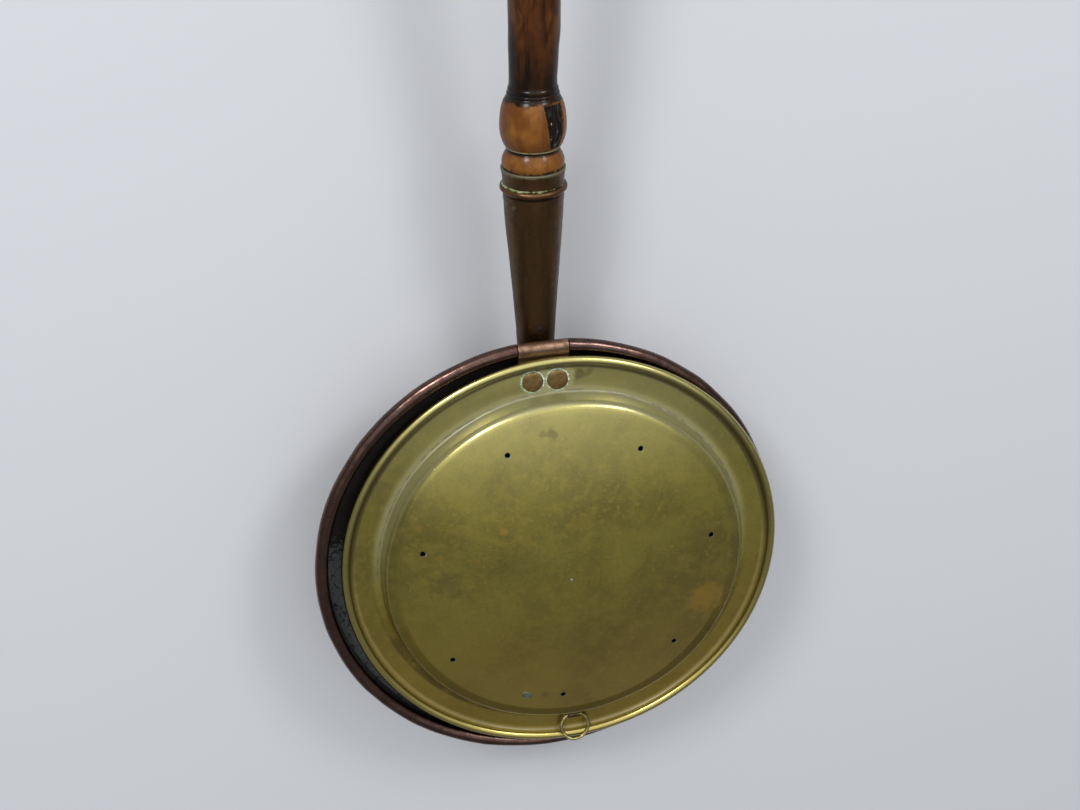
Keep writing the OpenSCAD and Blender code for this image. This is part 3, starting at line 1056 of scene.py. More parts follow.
@dataclass(frozen=True)
class LidBrass:
    """Dull olive brass, lightly scratched, with stains and a scribed centre, and with painted shade,
    highlights and reflections.
    """

    light: Colour = paint(156, 145, 52)
    dark: Colour = paint(116, 104, 29)
    gold: Colour = paint(166, 148, 56)
    # Painted reflection tints: paler over the back of the lid, warmer over the front.
    pale_back_reflection: Colour = paint(178, 172, 118)
    warm_front_reflection: Colour = paint(162, 128, 36)
    stain: Colour = paint(172, 138, 44)
    # Tarnish colour, also used for painted shade.
    tarnish_and_shade: Colour = paint(58, 50, 32)
    # Pale film on the back of the shoulder: partly real dust, partly painted reflection.
    slope_film_and_reflection: Colour = paint(124, 121, 86)
    # Painted shade colour of the groove inside the bead, on the front.
    dull: Colour = paint(86, 76, 36)
    pale: Colour = paint(172, 163, 96)
    # Painted shade colour of the bead's inner side at the back.
    brown: Colour = paint(92, 77, 36)
    hole_ring_r: float = 95.8
    hole_first: float = 111.5
    holes: int = 7
    crest_at: float = 114.0
    foot_at: float = 121.6
    edge_r: float = 141.1
    centre_ring_r: float = 19.5
    rivets: tuple[Point, Point] = ((-15.15, 128.523), (0.15, 128.523))
    rivet_r: float = 6.5
    orange: tuple[Stain, ...] = (
        Stain(91.9, -33.8, 15.5, 0.95), Stain(86.5, -28.5, 7.0, 0.7), Stain(-31.8, -85.5, 6.0, 0.6),
        Stain(-41.5, 39.6, 3.8, 0.6), Stain(-58.0, 20.0, 2.6, 0.4), Stain(-70.0, 33.0, 2.4, 0.4),
        Stain(-82.0, 24.0, 3.2, 0.4), Stain(-93.0, 46.0, 3.0, 0.35), Stain(60.0, -84.0, 5.0, 0.3),
        Stain(-60.0, -60.0, 4.0, 0.3), Stain(12.0, -20.0, 3.0, 0.2), Stain(-14.0, -88.0, 5.0, 0.3),
    )
    smudges: tuple[Stain, ...] = (
        Stain(-6.9, 99.5, 5.0, 0.45), Stain(-13.4, 100.0, 3.0, 0.35), Stain(-19.4, -93.0, 3.4, 0.3),
        Stain(14.0, 130.5, 4.5, 0.5), Stain(20.0, 131.5, 3.5, 0.4), Stain(98.0, -62.0, 5.0, 0.3),
        Stain(-79.0, 5.0, 13.0, 0.3), Stain(-30.0, 5.0, 26.0, 0.16), Stain(8.0, -52.0, 30.0, 0.12),
    )
    arcs: tuple[WornArc, ...] = (
        WornArc((61.3, 53.5), (40.9, 27.0), 4.2), WornArc((52.1, 5.1), (77.5, 5.8), 2.2),
        WornArc((39.8, -28.9), (55.9, -43.1), 1.8), WornArc((-52.8, -45.7), (-41.2, -34.9), -1.2),
        WornArc((-70.9, -16.4), (-51.1, -14.0), 1.4), WornArc((-62.1, 36.2), (-37.9, 28.0), -3.0),
        WornArc((-47.1, 57.3), (-36.6, 49.4), -1.2),
    )

    def hole_distance(self, c: Coat, shift: Point) -> Socket:
        """Distance from the nearest air hole, in millimetres.

        Args:
            c: The coat that is being made.
            shift: How far the hole's middle is moved, to find one side of it.

        Returns:
            The distance.
        """
        g = c.graph
        x, y, _, _ = c.axes()
        x, y = g.sub(x, shift[0]), g.sub(y, shift[1])
        r = g.math("SQRT", g.plus(g.mul(x, x), g.mul(y, y)))
        share = 2 * math.pi / self.holes
        angle = g.sub(g.math("ARCTAN2", y, x), math.radians(self.hole_first) - share / 2)
        folded = g.sub(g.math("FLOORED_MODULO", angle, share), share / 2)
        across = g.mul(g.math("SINE", folded), r)
        along = g.sub(g.mul(g.math("COSINE", folded), r), self.hole_ring_r)
        square = g.plus(g.mul(across, across), g.mul(along, along))
        return g.math("SQRT", square)

    def add_stains(self, c: Coat, colour: Socket) -> Socket:
        """Lays the orange stains and the dark smudges over a colour.

        Args:
            c: The coat that is being made.
            colour: The colour so far.

        Returns:
            The stained colour.
        """
        g = c.graph
        flat = g.vector("MULTIPLY", c.mm, FLAT)
        for tint, ragged, group in ((self.stain, 1.5, self.orange), (self.tarnish_and_shade, 1.8, self.smudges)):
            for spot in group:
                values = {"Vector": flat, "Centre": (spot.x, spot.y, 0.0), "Size": spot.size}
                mask = g.place(blot(), {**values, "Ragged": ragged}).outputs[0]
                colour = g.mix(g.mul(mask, spot.share), colour, tint)
        return colour

    def scribed_lines(self, c: Coat) -> Socket:
        """Mask of the circle round the centre and the worn compass lines.

        Args:
            c: The coat that is being made.

        Returns:
            The mask.
        """
        g = c.graph
        values = {"Vector": c.mm, "Centre": (0.0, 0.0, 0.0), "Radius": self.centre_ring_r, "Width": 0.26}
        marks = [g.place(scribe(), {**values, "Towards": (1.0, 0.1, 0.0), "Spread": -0.9}).outputs[0]]
        for arc_left in self.arcs:
            centre, radius, facing, spread = arc_left.circle()
            values = {"Vector": c.mm, "Centre": centre, "Radius": radius, "Width": 0.28}
            marks.append(g.place(scribe(), {**values, "Towards": facing, "Spread": spread}).outputs[0])
        return g.most(*marks)

    def rivet_stain(self, c: Coat) -> tuple[Socket, Socket]:
        """Masks of the grey haze and the pale bloom round the hinge rivets.

        Args:
            c: The coat that is being made.

        Returns:
            The haze and the bloom.
        """
        g = c.graph
        flat = g.vector("MULTIPLY", c.mm, FLAT)
        wide, close = [], []
        for x, y in self.rivets:
            far = g.vector("DISTANCE", flat, (x + 1.5, y + 1.0, 0.0))
            wide.append(g.step(far, self.rivet_r, self.rivet_r + 6.5, 0.74, 0.0))
            near = g.vector("DISTANCE", flat, (x - 0.4, y - 0.2, 0.0))
            close.append(g.step(near, self.rivet_r, self.rivet_r + 2.6, 0.85, 0.0))
        haze = c.growth(g.most(*wide), 0.36).outputs["Mask"]
        bloom = c.growth(g.most(*close), 0.3).outputs["Mask"]
        return haze, bloom

    def sheet_colour(self, c: Coat) -> tuple[Socket, Socket]:
        """The brass itself, with its clouds, a painted paler reflection at the back and a painted warmer
        reflection at the front; also the mask of the small clouds.

        Args:
            c: The coat that is being made.

        Returns:
            The colour and the mask.
        """
        g = c.graph
        clouds = c.clouds(0.018, 0.3, 0.7)
        small = c.clouds(0.075, 0.35, 0.8)
        colour = g.mix(g.mul(clouds, 0.75), self.light, self.dark)
        colour = g.mix(g.mul(small, 0.16), colour, self.tarnish_and_shade)
        colour = g.mix(g.step(g.noise(c.mm, 0.5, 5.0), 0.4, 0.7, 0.0, 0.16), colour, self.tarnish_and_shade)
        colour = g.mix(g.step(g.noise(c.mm, 0.11, 5.0, 0.6), 0.46, 0.66, 0.0, 0.35), colour, self.gold)
        colour = g.mix(g.step(g.noise(c.mm, 0.3, 3.0), 0.56, 0.7, 0.0, 0.5), colour, self.gold)
        _, y, _, _ = c.axes()
        # Painted reflection: the lid is mixed paler towards its back.
        colour = g.mix(g.step(y, 40.0, 120.0, 0.0, 0.4), colour, self.pale_back_reflection)
        # Painted reflection: the lid is mixed warmer and more golden towards its front.
        return g.mix(g.step(y, 30.0, -95.0, 0.0, 0.42), colour, self.warm_front_reflection), small

    def add_dots(self, c: Coat, colour: Socket) -> tuple[Socket, Socket]:
        """Lays small dark pits and orange dots over a colour; also gives the pits' mask.

        Args:
            c: The coat that is being made.
            colour: The colour so far.

        Returns:
            The colour and the mask.
        """
        g = c.graph
        pits = c.dots(0.2, 0.11, 0.3)
        colour = g.mix(g.mul(pits, 0.45), colour, self.tarnish_and_shade)
        moved = g.vector("ADD", c.mm, (31.0, 17.0, 5.0))
        dots = c.dots(0.12, 0.08, 0.3, moved)
        return g.mix(g.mul(dots, 0.5), colour, self.stain), pits

    def material(self) -> Material:
        """Builds the material.

        Returns:
            The material.
        """
        c = Coat("lid_brass", {"IOR": 1.5, "Coat Roughness": 0.3})
        g = c.graph
        _, y, z, r = c.axes()
        colour, small = self.sheet_colour(c)
        back = g.step(y, -40.0, 50.0)
        front = g.invert(g.step(y, -70.0, 20.0))

        # Pale film on the shoulder slope, on the back only: partly real dust, partly a painted reflection.
        slope = g.step(r, self.crest_at, self.crest_at + 4)
        slope = g.mul(slope, g.step(r, self.foot_at + 6.0, self.foot_at - 1.5))
        patches = c.clouds(0.05, 0.2, 0.6)
        slope_film_and_reflection = g.mul(slope, back, g.mad(patches, 0.3, 0.65))
        colour = g.mix(slope_film_and_reflection, colour, self.slope_film_and_reflection)
        wander = g.mad(g.noise(c.mm, 0.07, 2.0), 1.4, self.foot_at - 1.6)
        foot = g.fall(g.apart(r, wander), 0.1, 0.9)
        patchy = g.step(g.noise(c.mm, 0.16, 3.0), 0.42, 0.62, 0.1, 0.6)
        # Painted shade on the front: a dark band on the flange where the crest hides the foot.
        front_foot_shade = g.step(r, self.foot_at - 5.0, self.foot_at - 3.0)
        front_foot_shade = g.mul(front_foot_shade, g.step(r, self.foot_at + 5.5, self.foot_at + 3.0))
        front_foot_shade = g.mul(front_foot_shade, front, g.step(g.noise(c.mm, 0.09, 3.0), 0.2, 0.6, 0.55, 1.0))
        gutter = g.fall(g.apart(r, self.edge_r - 4.3), 0.6, 1.9)
        # Painted shade in the groove inside the bead: darker on the back, and on the front darker and
        # duller, which also takes its highlight away.
        behind = g.mul(gutter, back)
        dulled_gutter_shade = g.mul(g.invert(back), gutter)
        colour = g.mix(g.mul(dulled_gutter_shade, 0.7), colour, self.dull)
        # Painted shade on the crest's front edge, which turns away.
        turned = g.step(r, self.crest_at - 6.5, self.crest_at - 4.5)
        turned = g.mul(turned, g.step(r, self.crest_at + 3.0, self.crest_at), front)
        front_foot_shade = g.most(front_foot_shade, g.mul(turned, 0.75))
        # Real dirt along the foot line, together with the painted shade of the front foot, the crest's
        # front edge and the back of the groove.
        dirt_and_shade = g.most(g.mul(foot, patchy), g.mul(front_foot_shade, 0.8), g.mul(behind, 0.72))
        colour = g.mix(dirt_and_shade, colour, self.tarnish_and_shade)
        under = g.mul(g.step(r, self.edge_r + 1.2, self.edge_r + 2.2), g.step(z, 1.2, 0.0))
        edge = c.growth(g.mul(under, 0.58), 0.16).outputs[0]
        colour = g.mix(g.mul(edge, 0.6), colour, VERDIGRIS_AND_HIGHLIGHT)

        colour = self.add_stains(c, colour)
        lines = self.scribed_lines(c)
        colour = g.mix(g.mul(lines, 0.6), colour, self.tarnish_and_shade)
        haze, bloom = self.rivet_stain(c)
        colour = g.mix(g.mul(haze, 0.36), colour, paint(112, 112, 92))
        colour = g.mix(g.mul(bloom, 0.55), colour, VERDIGRIS_AND_HIGHLIGHT)
        worn = g.fall(self.hole_distance(c, (0.0, 0.0)), 1.75, 2.2)
        colour = g.mix(g.mul(worn, 0.8), colour, self.tarnish_and_shade)
        # Painted highlight: a pale crescent on one side of each air hole's lip.
        hole_lip_highlight = g.fall(self.hole_distance(c, (0.45, -0.5)), 1.3, 2.0)
        colour = g.mix(g.mul(hole_lip_highlight, 0.65), colour, VERDIGRIS_AND_HIGHLIGHT)
        scratch = c.scratches(0.045, 0.008)
        colour = g.mix(g.mul(scratch, 0.22), colour, self.light)
        colour, pits = self.add_dots(c, colour)
        centre = g.vector("LENGTH", g.vector("MULTIPLY", c.mm, FLAT))
        punch = g.fall(centre, 0.5, 1.0)
        colour = g.mix(g.mul(punch, 0.9), colour, paint(206, 214, 204))

        bead = g.step(r, self.edge_r - 3.5, self.edge_r - 2.0)
        colour = g.mix(g.mul(bead, 0.45), colour, self.pale)
        # Painted shade on the inner side of the bead, on the back only.
        bead_back_shade = g.step(r, self.edge_r - 5.0, self.edge_r - 3.8)
        bead_back_shade = g.mul(bead_back_shade, g.step(r, self.edge_r + 0.2, self.edge_r - 1.4))
        colour = g.mix(g.mul(bead_back_shade, back, 0.75), colour, self.brown)
        crest = g.fall(g.apart(r, self.crest_at), 2.0, 6.0)
        rough = g.mad(small, 0.05, 0.34)
        rough = g.mad(g.most(dirt_and_shade, bloom, haze, g.mul(foot, 0.7)), 0.2, rough)
        rough = g.mad(g.most(crest, bead), -0.1, rough)
        fillet = g.fall(g.apart(r, self.foot_at), 1.0, 3.0)
        rough = g.mad(g.most(fillet, gutter), 0.3, rough)
        height = g.mul(g.noise(c.mm, 0.03, 2.0), 0.3)
        height = g.mad(g.noise(c.mm, 1.3, 2.0), 0.012, height)
        height = g.mad(lines, -0.03, height)
        height = g.mad(scratch, -0.006, height)
        height = g.mad(g.most(punch, pits), -0.08, height)
        height = g.mad(bloom, 0.05, height)
        metal = g.invert(g.mul(g.most(slope_film_and_reflection, dulled_gutter_shade), 0.65))
        metal = g.mad(g.most(haze, g.mul(dirt_and_shade, 0.5)), -0.4, metal)
        bare = g.most(g.mul(slope, g.invert(back)), front_foot_shade, turned)
        g.feed(c.shader.inputs["Coat Weight"], g.mad(bare, -0.8, 0.85))
        return c.close(colour, rough, height, 1.0, metal)


@dataclass(frozen=True)
class PanCopper:
    """Browned copper: reddish where handled, purple-brown on the roll, sooty inside, with the ledge under
    the lid made near black as soot and painted shade.
    """

    brown: Colour = paint(102, 76, 64)
    purple: Colour = paint(82, 64, 60)
    bright: Colour = paint(170, 132, 114)
    streak: Colour = paint(96, 104, 102)
    roll_z: float = 58.5
    corner_r: float = 111.478
    corner_z: float = 18.0
    sheet_mid: float = 17.45
    lean: float = 0.1405

    def inside(self, c: Coat, z: Socket, r: Socket) -> Socket:
        """Mask of the pan's inside.

        Args:
            c: The coat that is being made.
            z: Height, in millimetres.
            r: Radius, in millimetres.

        Returns:
            The mask.
        """
        g = c.graph
        slope = g.mul(g.math("MAXIMUM", g.sub(z, self.corner_z), 0.0), self.lean)
        out = g.math("MAXIMUM", g.sub(g.sub(r, self.corner_r), slope), 0.0)
        down = g.math("MAXIMUM", g.sub(self.corner_z, z), 0.0)
        reach = g.math("SQRT", g.plus(g.mul(out, out), g.mul(down, down)))
        return g.fall(reach, self.sheet_mid - 0.2, self.sheet_mid + 0.3)

    def material(self) -> Material:
        """Builds the material.

        Returns:
            The material.
        """
        c = Coat("pan_copper", {"Metallic": 1.0, "IOR": 1.5})
        g = c.graph
        x, y, z, r = c.axes()
        clouds = c.clouds(0.03, 0.35, 0.68)
        small = c.clouds(0.16, 0.45, 0.72)
        colour = g.mix(clouds, self.brown, self.purple)
        roll = g.step(z, self.roll_z - 1.0, self.roll_z + 1.0)
        colour = g.mix(g.mul(roll, 0.5), colour, self.purple)
        colour = g.mix(g.mul(small, 0.4), colour, SOOT_AND_SHADE)
        worn = c.scratches(0.05, 0.02)
        colour = g.mix(g.mul(worn, 0.3), colour, self.bright)
        inside = self.inside(c, z, r)
        # The ledge in the gap under the lid's edge is made near black: partly soot, partly painted shade.
        ledge = g.mul(g.step(z, 52.0, 54.0), g.step(z, 60.0, 58.0))
        ledge = g.mul(ledge, g.step(r, 145.2, 144.4))
        soot_and_shade = g.most(inside, ledge)
        colour = g.mix(g.mul(soot_and_shade, 0.97), colour, SOOT_AND_SHADE)
        left = g.mul(g.step(x, -20.0, -90.0), g.step(y, 70.0, 10.0))
        streaks = c.growth(g.mul(ledge, left, 0.6), 0.5)
        colour = g.mix(g.mul(streaks.outputs["Mask"], 0.55), colour, self.streak)
        rough = g.plus(0.19, g.mul(small, 0.16))
        rough = g.plus(rough, g.mul(soot_and_shade, 0.4))
        metal = g.invert(g.mul(soot_and_shade, 0.3))
        height = g.plus(g.mul(g.noise(c.mm, 0.06, 2.0), 0.6), g.mul(g.noise(c.mm, 0.9, 3.0), 0.03))
        height = g.plus(height, g.mul(streaks.outputs["Height"], 0.08))
        return c.close(colour, rough, height, 1.0, metal)


@dataclass(frozen=True)
class FittingCopper:
    """Copper of the hinge, rivets and band: reddish brown, with crust in its corners."""

    name: str = "fitting_copper"
    body: Colour = paint(140, 112, 92)
    dark: Colour = paint(104, 80, 64)
    green: float = 0.0

    def material(self) -> Material:
        """Builds the material.

        Returns:
            The material.
        """
        c = Coat(self.name, {"Metallic": 1.0, "IOR": 1.5})
        g = c.graph
        clouds = c.clouds(0.2, 0.35, 0.7)
        colour = g.mix(clouds, self.body, self.dark)
        pits = c.dots(0.8, 0.22, 0.3)
        colour = g.mix(g.mul(pits, 0.3), colour, SOOT_AND_SHADE)
        growth = c.growth(self.green, 0.35)
        colour = g.mix(growth.outputs["Mask"], colour, VERDIGRIS_AND_HIGHLIGHT)
        worn = c.scratches(0.2, 0.03)
        colour = g.mix(g.mul(worn, 0.3), colour, self.body)
        rough = g.plus(0.34, g.mul(clouds, 0.18))
        height = g.plus(g.mul(g.noise(c.mm, 0.35, 2.0), 0.3), g.mul(growth.outputs["Height"], 0.3))
        metal = g.invert(g.mul(growth.outputs["Mask"], 0.9))
        return c.close(colour, rough, height, 0.5, metal)


@dataclass(frozen=True)
class FerruleBronze:
    """Dark browned sheet of the ferrule, redder on top, with lengthwise rubbing and a painted shade line
    below the band.
    """

    brown: Colour = paint(84, 66, 42)
    red: Colour = paint(104, 74, 48)
    dark: Colour = paint(56, 43, 30)
    patina: Colour = paint(110, 116, 92)
    growth: Colour = paint(138, 150, 106)
    band_at: float = 97.4
    lip_end: float = 109.2

    def material(self) -> Material:
        """Builds the material.

        Returns:
            The material.
        """
        c = Coat("ferrule_bronze", {"IOR": 1.5})
        g = c.graph
        x, y, z, _ = c.axes()
        drawn = g.vector("MULTIPLY", c.mm, (1.0, 1.0, 0.12))
        streak = c.clouds(0.16, 0.36, 0.68, drawn)
        small = c.clouds(0.35, 0.48, 0.7)
        front = g.step(y, -2.0, -16.0)
        colour = g.mix(g.mul(front, 0.45), self.brown, self.red)
        colour = g.mix(g.mul(streak, 0.6), colour, self.dark)
        colour = g.mix(g.mul(small, 0.4), colour, self.dark)
        off = g.sub(z, self.band_at)
        # Painted shade: a dark line just on the pan side of the band.
        under_band_shade = g.fall(g.math("ABSOLUTE", g.plus(off, 2.7)), 0.2, 1.2)
        colour = g.mix(g.mul(under_band_shade, 0.8), colour, SOOT_AND_SHADE)
        ridge = g.fall(g.math("ABSOLUTE", off), 1.0, 2.0)
        colour = g.mix(g.mul(ridge, 0.5), colour, self.red)
        lip = g.step(g.mad(g.noise(c.mm, 0.3, 3.0), 3.0, z), self.lip_end - 0.6, self.lip_end + 0.6)
        colour = g.mix(g.mul(lip, 0.55), colour, self.patina)
        left = g.step(x, 14.0, -9.0, 0.42, 0.63)
        over = g.fall(g.apart(off, 2.4), 0.2, 1.0)
        growth = c.growth(g.mul(over, left), 0.3)
        colour = g.mix(growth.outputs["Mask"], colour, self.growth)
        worn = c.scratches(0.12, 0.03, drawn)
        colour = g.mix(g.mul(worn, 0.3), colour, self.red)
        rough = g.mad(g.most(streak, small, lip), 0.16, 0.33)
        height = g.mul(g.noise(c.mm, 0.1, 2.0), 0.5)
        height = g.mad(growth.outputs["Height"], 0.4, height)
        metal = g.mad(growth.outputs["Mask"], -0.9, 1.0)
        metal = g.mad(lip, -0.4, metal)
        return c.close(colour, rough, height, 0.6, metal)


@dataclass(frozen=True)
class DarkMetal:
    """Old iron, solder or tarnished brass, from two colours and a grain."""

    name: str
    body: Colour
    dark: Colour
    metallic: float = 1.0
    roughness: float = 0.5
    grain: float = 0.5

    def material(self) -> Material:
        """Builds the material.

        Returns:
            The material.
        """
        c = Coat(self.name, {"Metallic": self.metallic, "IOR": 1.5})
        g = c.graph
        clouds = c.clouds(0.25, 0.35, 0.7)
        pits = c.dots(1.1, 0.3, 0.4)
        colour = g.mix(g.most(clouds, g.mul(pits, 0.8)), self.body, self.dark)
        rough = g.plus(self.roughness, g.mul(clouds, 0.15))
        height = g.sub(g.noise(c.mm, self.grain, 4.0), g.mul(pits, 0.3))
        return c.close(colour, rough, height, 0.25)


@dataclass(frozen=True)
class Growth:
    """Pale blue-green verdigris crust round the rivets."""

    pale: Colour = paint(184, 198, 172)
    deep: Colour = paint(116, 136, 108)

    def material(self) -> Material:
        """Builds the material.

        Returns:
            The material.
        """
        c = Coat("verdigris", {"Metallic": 0.0, "IOR": 1.45})
        g = c.graph
        clouds = c.clouds(0.7, 0.35, 0.65)
        colour = g.mix(clouds, self.pale, self.deep)
        rough = g.plus(0.8, g.mul(clouds, 0.1))
        return c.close(colour, rough, g.noise(c.mm, 1.6, 4.0), 0.3)


@dataclass(frozen=True)
class Chip:
    """Where wood has split off the large bead: four edges that lean with the station.

    Angles are in degrees round the handle, from its top towards its right.
    """

    low: float = 122.6
    high: float = 147.2
    left: float = 9.0
    left_lean: float = 0.45
    right: float = 56.0
    right_lean: float = -0.45

    def depth(self, turn: float, z: float) -> float:
        """How deep the chip is, from 0 to 1, at an angle and a station.

        Args:
            turn: Angle from the handle's top, in degrees.
            z: Station along the handle, in millimetres.

        Returns:
            The depth.
        """
        down = self.high - z
        ends = clamp((z - self.low) / 1.2) * clamp((self.high - z) / 1.2)
        left = clamp((turn - self.left - self.left_lean * down) / 3.0)
        right = clamp((self.right + self.right_lean * down - turn) / 3.0)
        return ends * left * right

    def mask(self, c: Coat) -> Socket:
        """The same place as a mask with torn edges.

        Args:
            c: The coat that is being made.

        Returns:
            The mask.
        """
        g = c.graph
        x, y, z, _ = c.axes()
        turn = g.mul(g.math("ARCTAN2", x, g.mul(y, -1.0)), 180 / math.pi)
        torn = g.mad(g.noise(c.mm, 0.9, 3.0), 5.0, -2.5)
        turn = g.plus(turn, torn)
        down = g.sub(self.high, z)
        left = g.mad(down, self.left_lean, self.left)
        right = g.mad(down, self.right_lean, self.right)
        ends = g.mul(g.step(z, self.low, self.low + 0.6), g.step(down, 0.0, 0.6))
        sides = g.mul(g.step(g.sub(turn, left), 0.0, 1.5), g.step(g.sub(right, turn), 0.0, 1.5))
        return g.mul(ends, sides)


CHIP = Chip()


@dataclass(frozen=True)
class TurnedWood:
    """Stained and polished wood: dark shaft, amber beads, black chipped places."""

    shaft: Colour = paint(70, 36, 14)
    deep: Colour = paint(15, 9, 5)
    amber: Colour = paint(100, 60, 22)
    honey: Colour = paint(128, 84, 34)
    russet: Colour = paint(74, 36, 15)
    char: Colour = paint(12, 10, 8)
    dust: Colour = paint(164, 170, 128)
    bead_from: float = 109.3
    bead_to: float = 147.0
    groove_at: float = 119.8
    neck_rings: tuple[float, float] = (149.7, 151.8)

    def near(self, c: Coat, z: Socket, at: float, clear: float, out: float) -> Socket:
        """Mask of a narrow ring round the handle.

        Args:
            c: The coat that is being made.
            z: Station.
            at: Station of the ring.
            clear: Distance up to which the mask is full.
            out: Distance where it ends.

        Returns:
            The mask.
        """
        return c.graph.fall(c.graph.apart(z, at), clear, out)

    def material(self) -> Material:
        """Builds the material.

        Returns:
            The material.
        """
        c = Coat("turned_wood", {"Specular IOR Level": 0.08, "Coat Weight": 0.16, "Coat Roughness": 0.1})
        g = c.graph
        _, _, z, _ = c.axes()
        grain = g.place(wood_grain(), {"Vector": c.mm, "Scale": 0.13}).outputs
        shade = g.step(grain["Streak"], 0.36, 0.64)
        shaft = g.mix(shade, self.shaft, self.deep)
        long_way = g.vector("MULTIPLY", c.mm, (1.0, 1.0, 0.35))
        patch = c.clouds(0.085, 0.44, 0.62, long_way)
        shaft = g.mix(g.mul(patch, 0.55), shaft, self.amber)
        dark_marks = c.clouds(0.3, 0.45, 0.65, long_way)
        shaft = g.mix(g.mul(dark_marks, 0.55), shaft, self.deep)
        lower = g.step(z, 152.0, 192.0, 0.8, 0.12)
        shaft = g.mix(lower, shaft, self.deep)
        wear = c.clouds(0.07, 0.4, 0.7)
        amber = g.mix(wear, self.amber, self.honey)
        amber = g.mix(g.mul(shade, 0.5), amber, self.russet)
        ragged = g.mad(g.noise(c.mm, 0.22, 4.0), 6.0, g.sub(z, 3.0))
        bead = g.step(ragged, self.bead_to + 0.8, self.bead_to - 0.8)
        colour = g.mix(bead, shaft, amber)
        rings = g.most(
            self.near(c, z, self.groove_at, 0.4, 1.5),
            *(g.mul(self.near(c, z, at, 0.1, 0.5), 0.9) for at in self.neck_rings),
        )
        colour = g.mix(g.mul(rings, 0.92), colour, self.char)
        skirt = g.mad(g.noise(c.mm, 0.35, 4.0), -5.0, g.plus(z, 2.5))
        skirt = g.fall(skirt, self.bead_from + 0.4, self.bead_from + 1.4)
        colour = g.mix(g.mul(skirt, 0.9), colour, self.char)
        colour = g.mix(g.mul(grain["Pores"], 0.45), colour, self.deep)
        seat = g.mul(self.near(c, z, self.groove_at + 1.5, 0.25, 0.75), 0.72)
        dusty = c.growth(seat, 0.3).outputs[0]
        colour = g.mix(g.mul(dusty, 0.9), colour, self.dust)
        chip = CHIP.mask(c)
        colour = g.mix(g.mul(chip, 0.97), colour, self.char)
        stretched = g.vector("MULTIPLY", c.mm, (1.0, 1.0, 0.4))
        splinters = c.dots(0.75, 0.3, 0.22, stretched)
        colour = g.mix(g.mul(splinters, chip, 0.8), colour, self.dust)
        dots = c.dots(0.5, 0.3, 0.2)
        colour = g.mix(g.mul(dots, 0.25), colour, self.deep)
        rough = g.mad(wear, 0.1, 0.3)
        rough = g.mad(g.most(dusty, skirt), 0.35, rough)
        height = g.mad(grain["Pores"], -0.15, g.mul(grain["Streak"], 0.5))
        height = g.mad(splinters, g.mul(chip, 0.8), height)
        return c.close(colour, rough, height, 0.3)


@dataclass(frozen=True)
class PlainFloor:
    """Plain pale floor."""

    colour: Colour = paint(184, 186, 190)

    def material(self) -> Material:
        """Builds the material.

        Returns:
            The material.
        """
        c = Coat("floor", {"Metallic": 0.0, "Roughness": 0.75})
        cloud = c.graph.noise(c.mm, 0.002, 2.0)
        colour = c.graph.mix(c.graph.mul(cloud, 0.05), self.colour, paint(172, 172, 174))
        c.graph.feed(c.shader.inputs["Base Color"], colour)
        return c.material


# ---------------------------------------------------------------------------
# Sub-assemblies
# ---------------------------------------------------------------------------


@dataclass
class PanBody:
    """The copper pan: base, wall, ledge, upright edge and rolled rim."""

    height: float = 62.0
    rim_r: float = 148.3
    sheet: float = 1.1
    roll_bore: float = 3.1
    corner_r: float = 18.0
    corner_at: float = 111.478
    lean: float = 8.0
    ledge_z: float = 54.45
    edge_r: float = 144.85
    bend_r: float = 1.3
    seam_angle: float = -124.0
    gap_half: float = 16.1
    gap_y: float = 142.96
    gap_z: float = 57.54
    gap_cube: float = 20.0
    steps: int = 288

    def path(self) -> Profile:
        """Middle of the sheet from the base's centre to the end of the roll.

        Returns:
            The points of the path.
        """
        mid = self.sheet / 2
        foot = arc(self.corner_at, self.corner_r, self.corner_r - mid, -90, -self.lean, 14)
        rise = math.tan(math.radians(self.lean))
        top_z = self.ledge_z - self.bend_r
        top = (foot[-1][0] + (top_z - foot[-1][1]) * rise, top_z)
        bend = arc(top[0] + self.bend_r, top_z, self.bend_r, 180 - self.lean / 2, 92, 4)
        turn = arc(self.edge_r - self.bend_r, self.ledge_z + self.bend_r, self.bend_r, -90, 0, 4)
        roll = arc(self.rim_r, self.height, self.roll_bore + mid, 180, self.seam_angle, 36)
        base = line((0.0, mid), (self.corner_at, mid), 24)[:-1]
        wall = line(foot[-1], top, 12)[1:-1]
        ledge = line(bend[-1], turn[0], 5)[1:-1]
        upright = line(turn[-1], (self.edge_r, self.height - 1.0), 4)[1:]
        return base + foot + wall + bend + ledge + turn + upright + roll

    def warp(self, r: float, z: float, a: float) -> Point:
        """Unevenness of the beaten sheet.

        Args:
            r: Radius, in millimetres.
            z: Height, in millimetres.
            a: Angle round the axis, in radians.

        Returns:
            Extra radius and extra height.
        """
        outer = clamp((r - self.edge_r) / 6.0)
        roll = outer * (0.22 * wave(a, 7.0, 3.0) - 0.12)
        wall = 0.35 * wave(a, 3.0, 8.0, z * 0.02) if 6 < z < 52 and r > 100 else 0.0
        return roll + wall, 0.10 * outer * wave(a, 6.0, 5.0) - 0.05 * outer

    def build(self, finish: Material) -> None:
        """Makes the shell and opens its roll at the hinge.

        Args:
            finish: Its material.
        """
        outline = spun_sheet(self.path(), self.sheet)
        shell = lathe("pan_shell", outline, False, self.steps, self.warp)
        bpy.ops.mesh.primitive_cube_add(size=1)
        cutter = bpy.context.object
        side, half = self.gap_cube * MM, self.gap_cube / 2
        cutter.scale = (2 * self.gap_half * MM, side, side)
        cutter.location = (0, (self.gap_y + half) * MM, (self.gap_z + half) * MM)
        bpy.context.view_layer.update()
        cut(shell, cutter)
        settle(shell, Matrix.Identity(4), Body.PAN, finish, ["pan_bowl"])


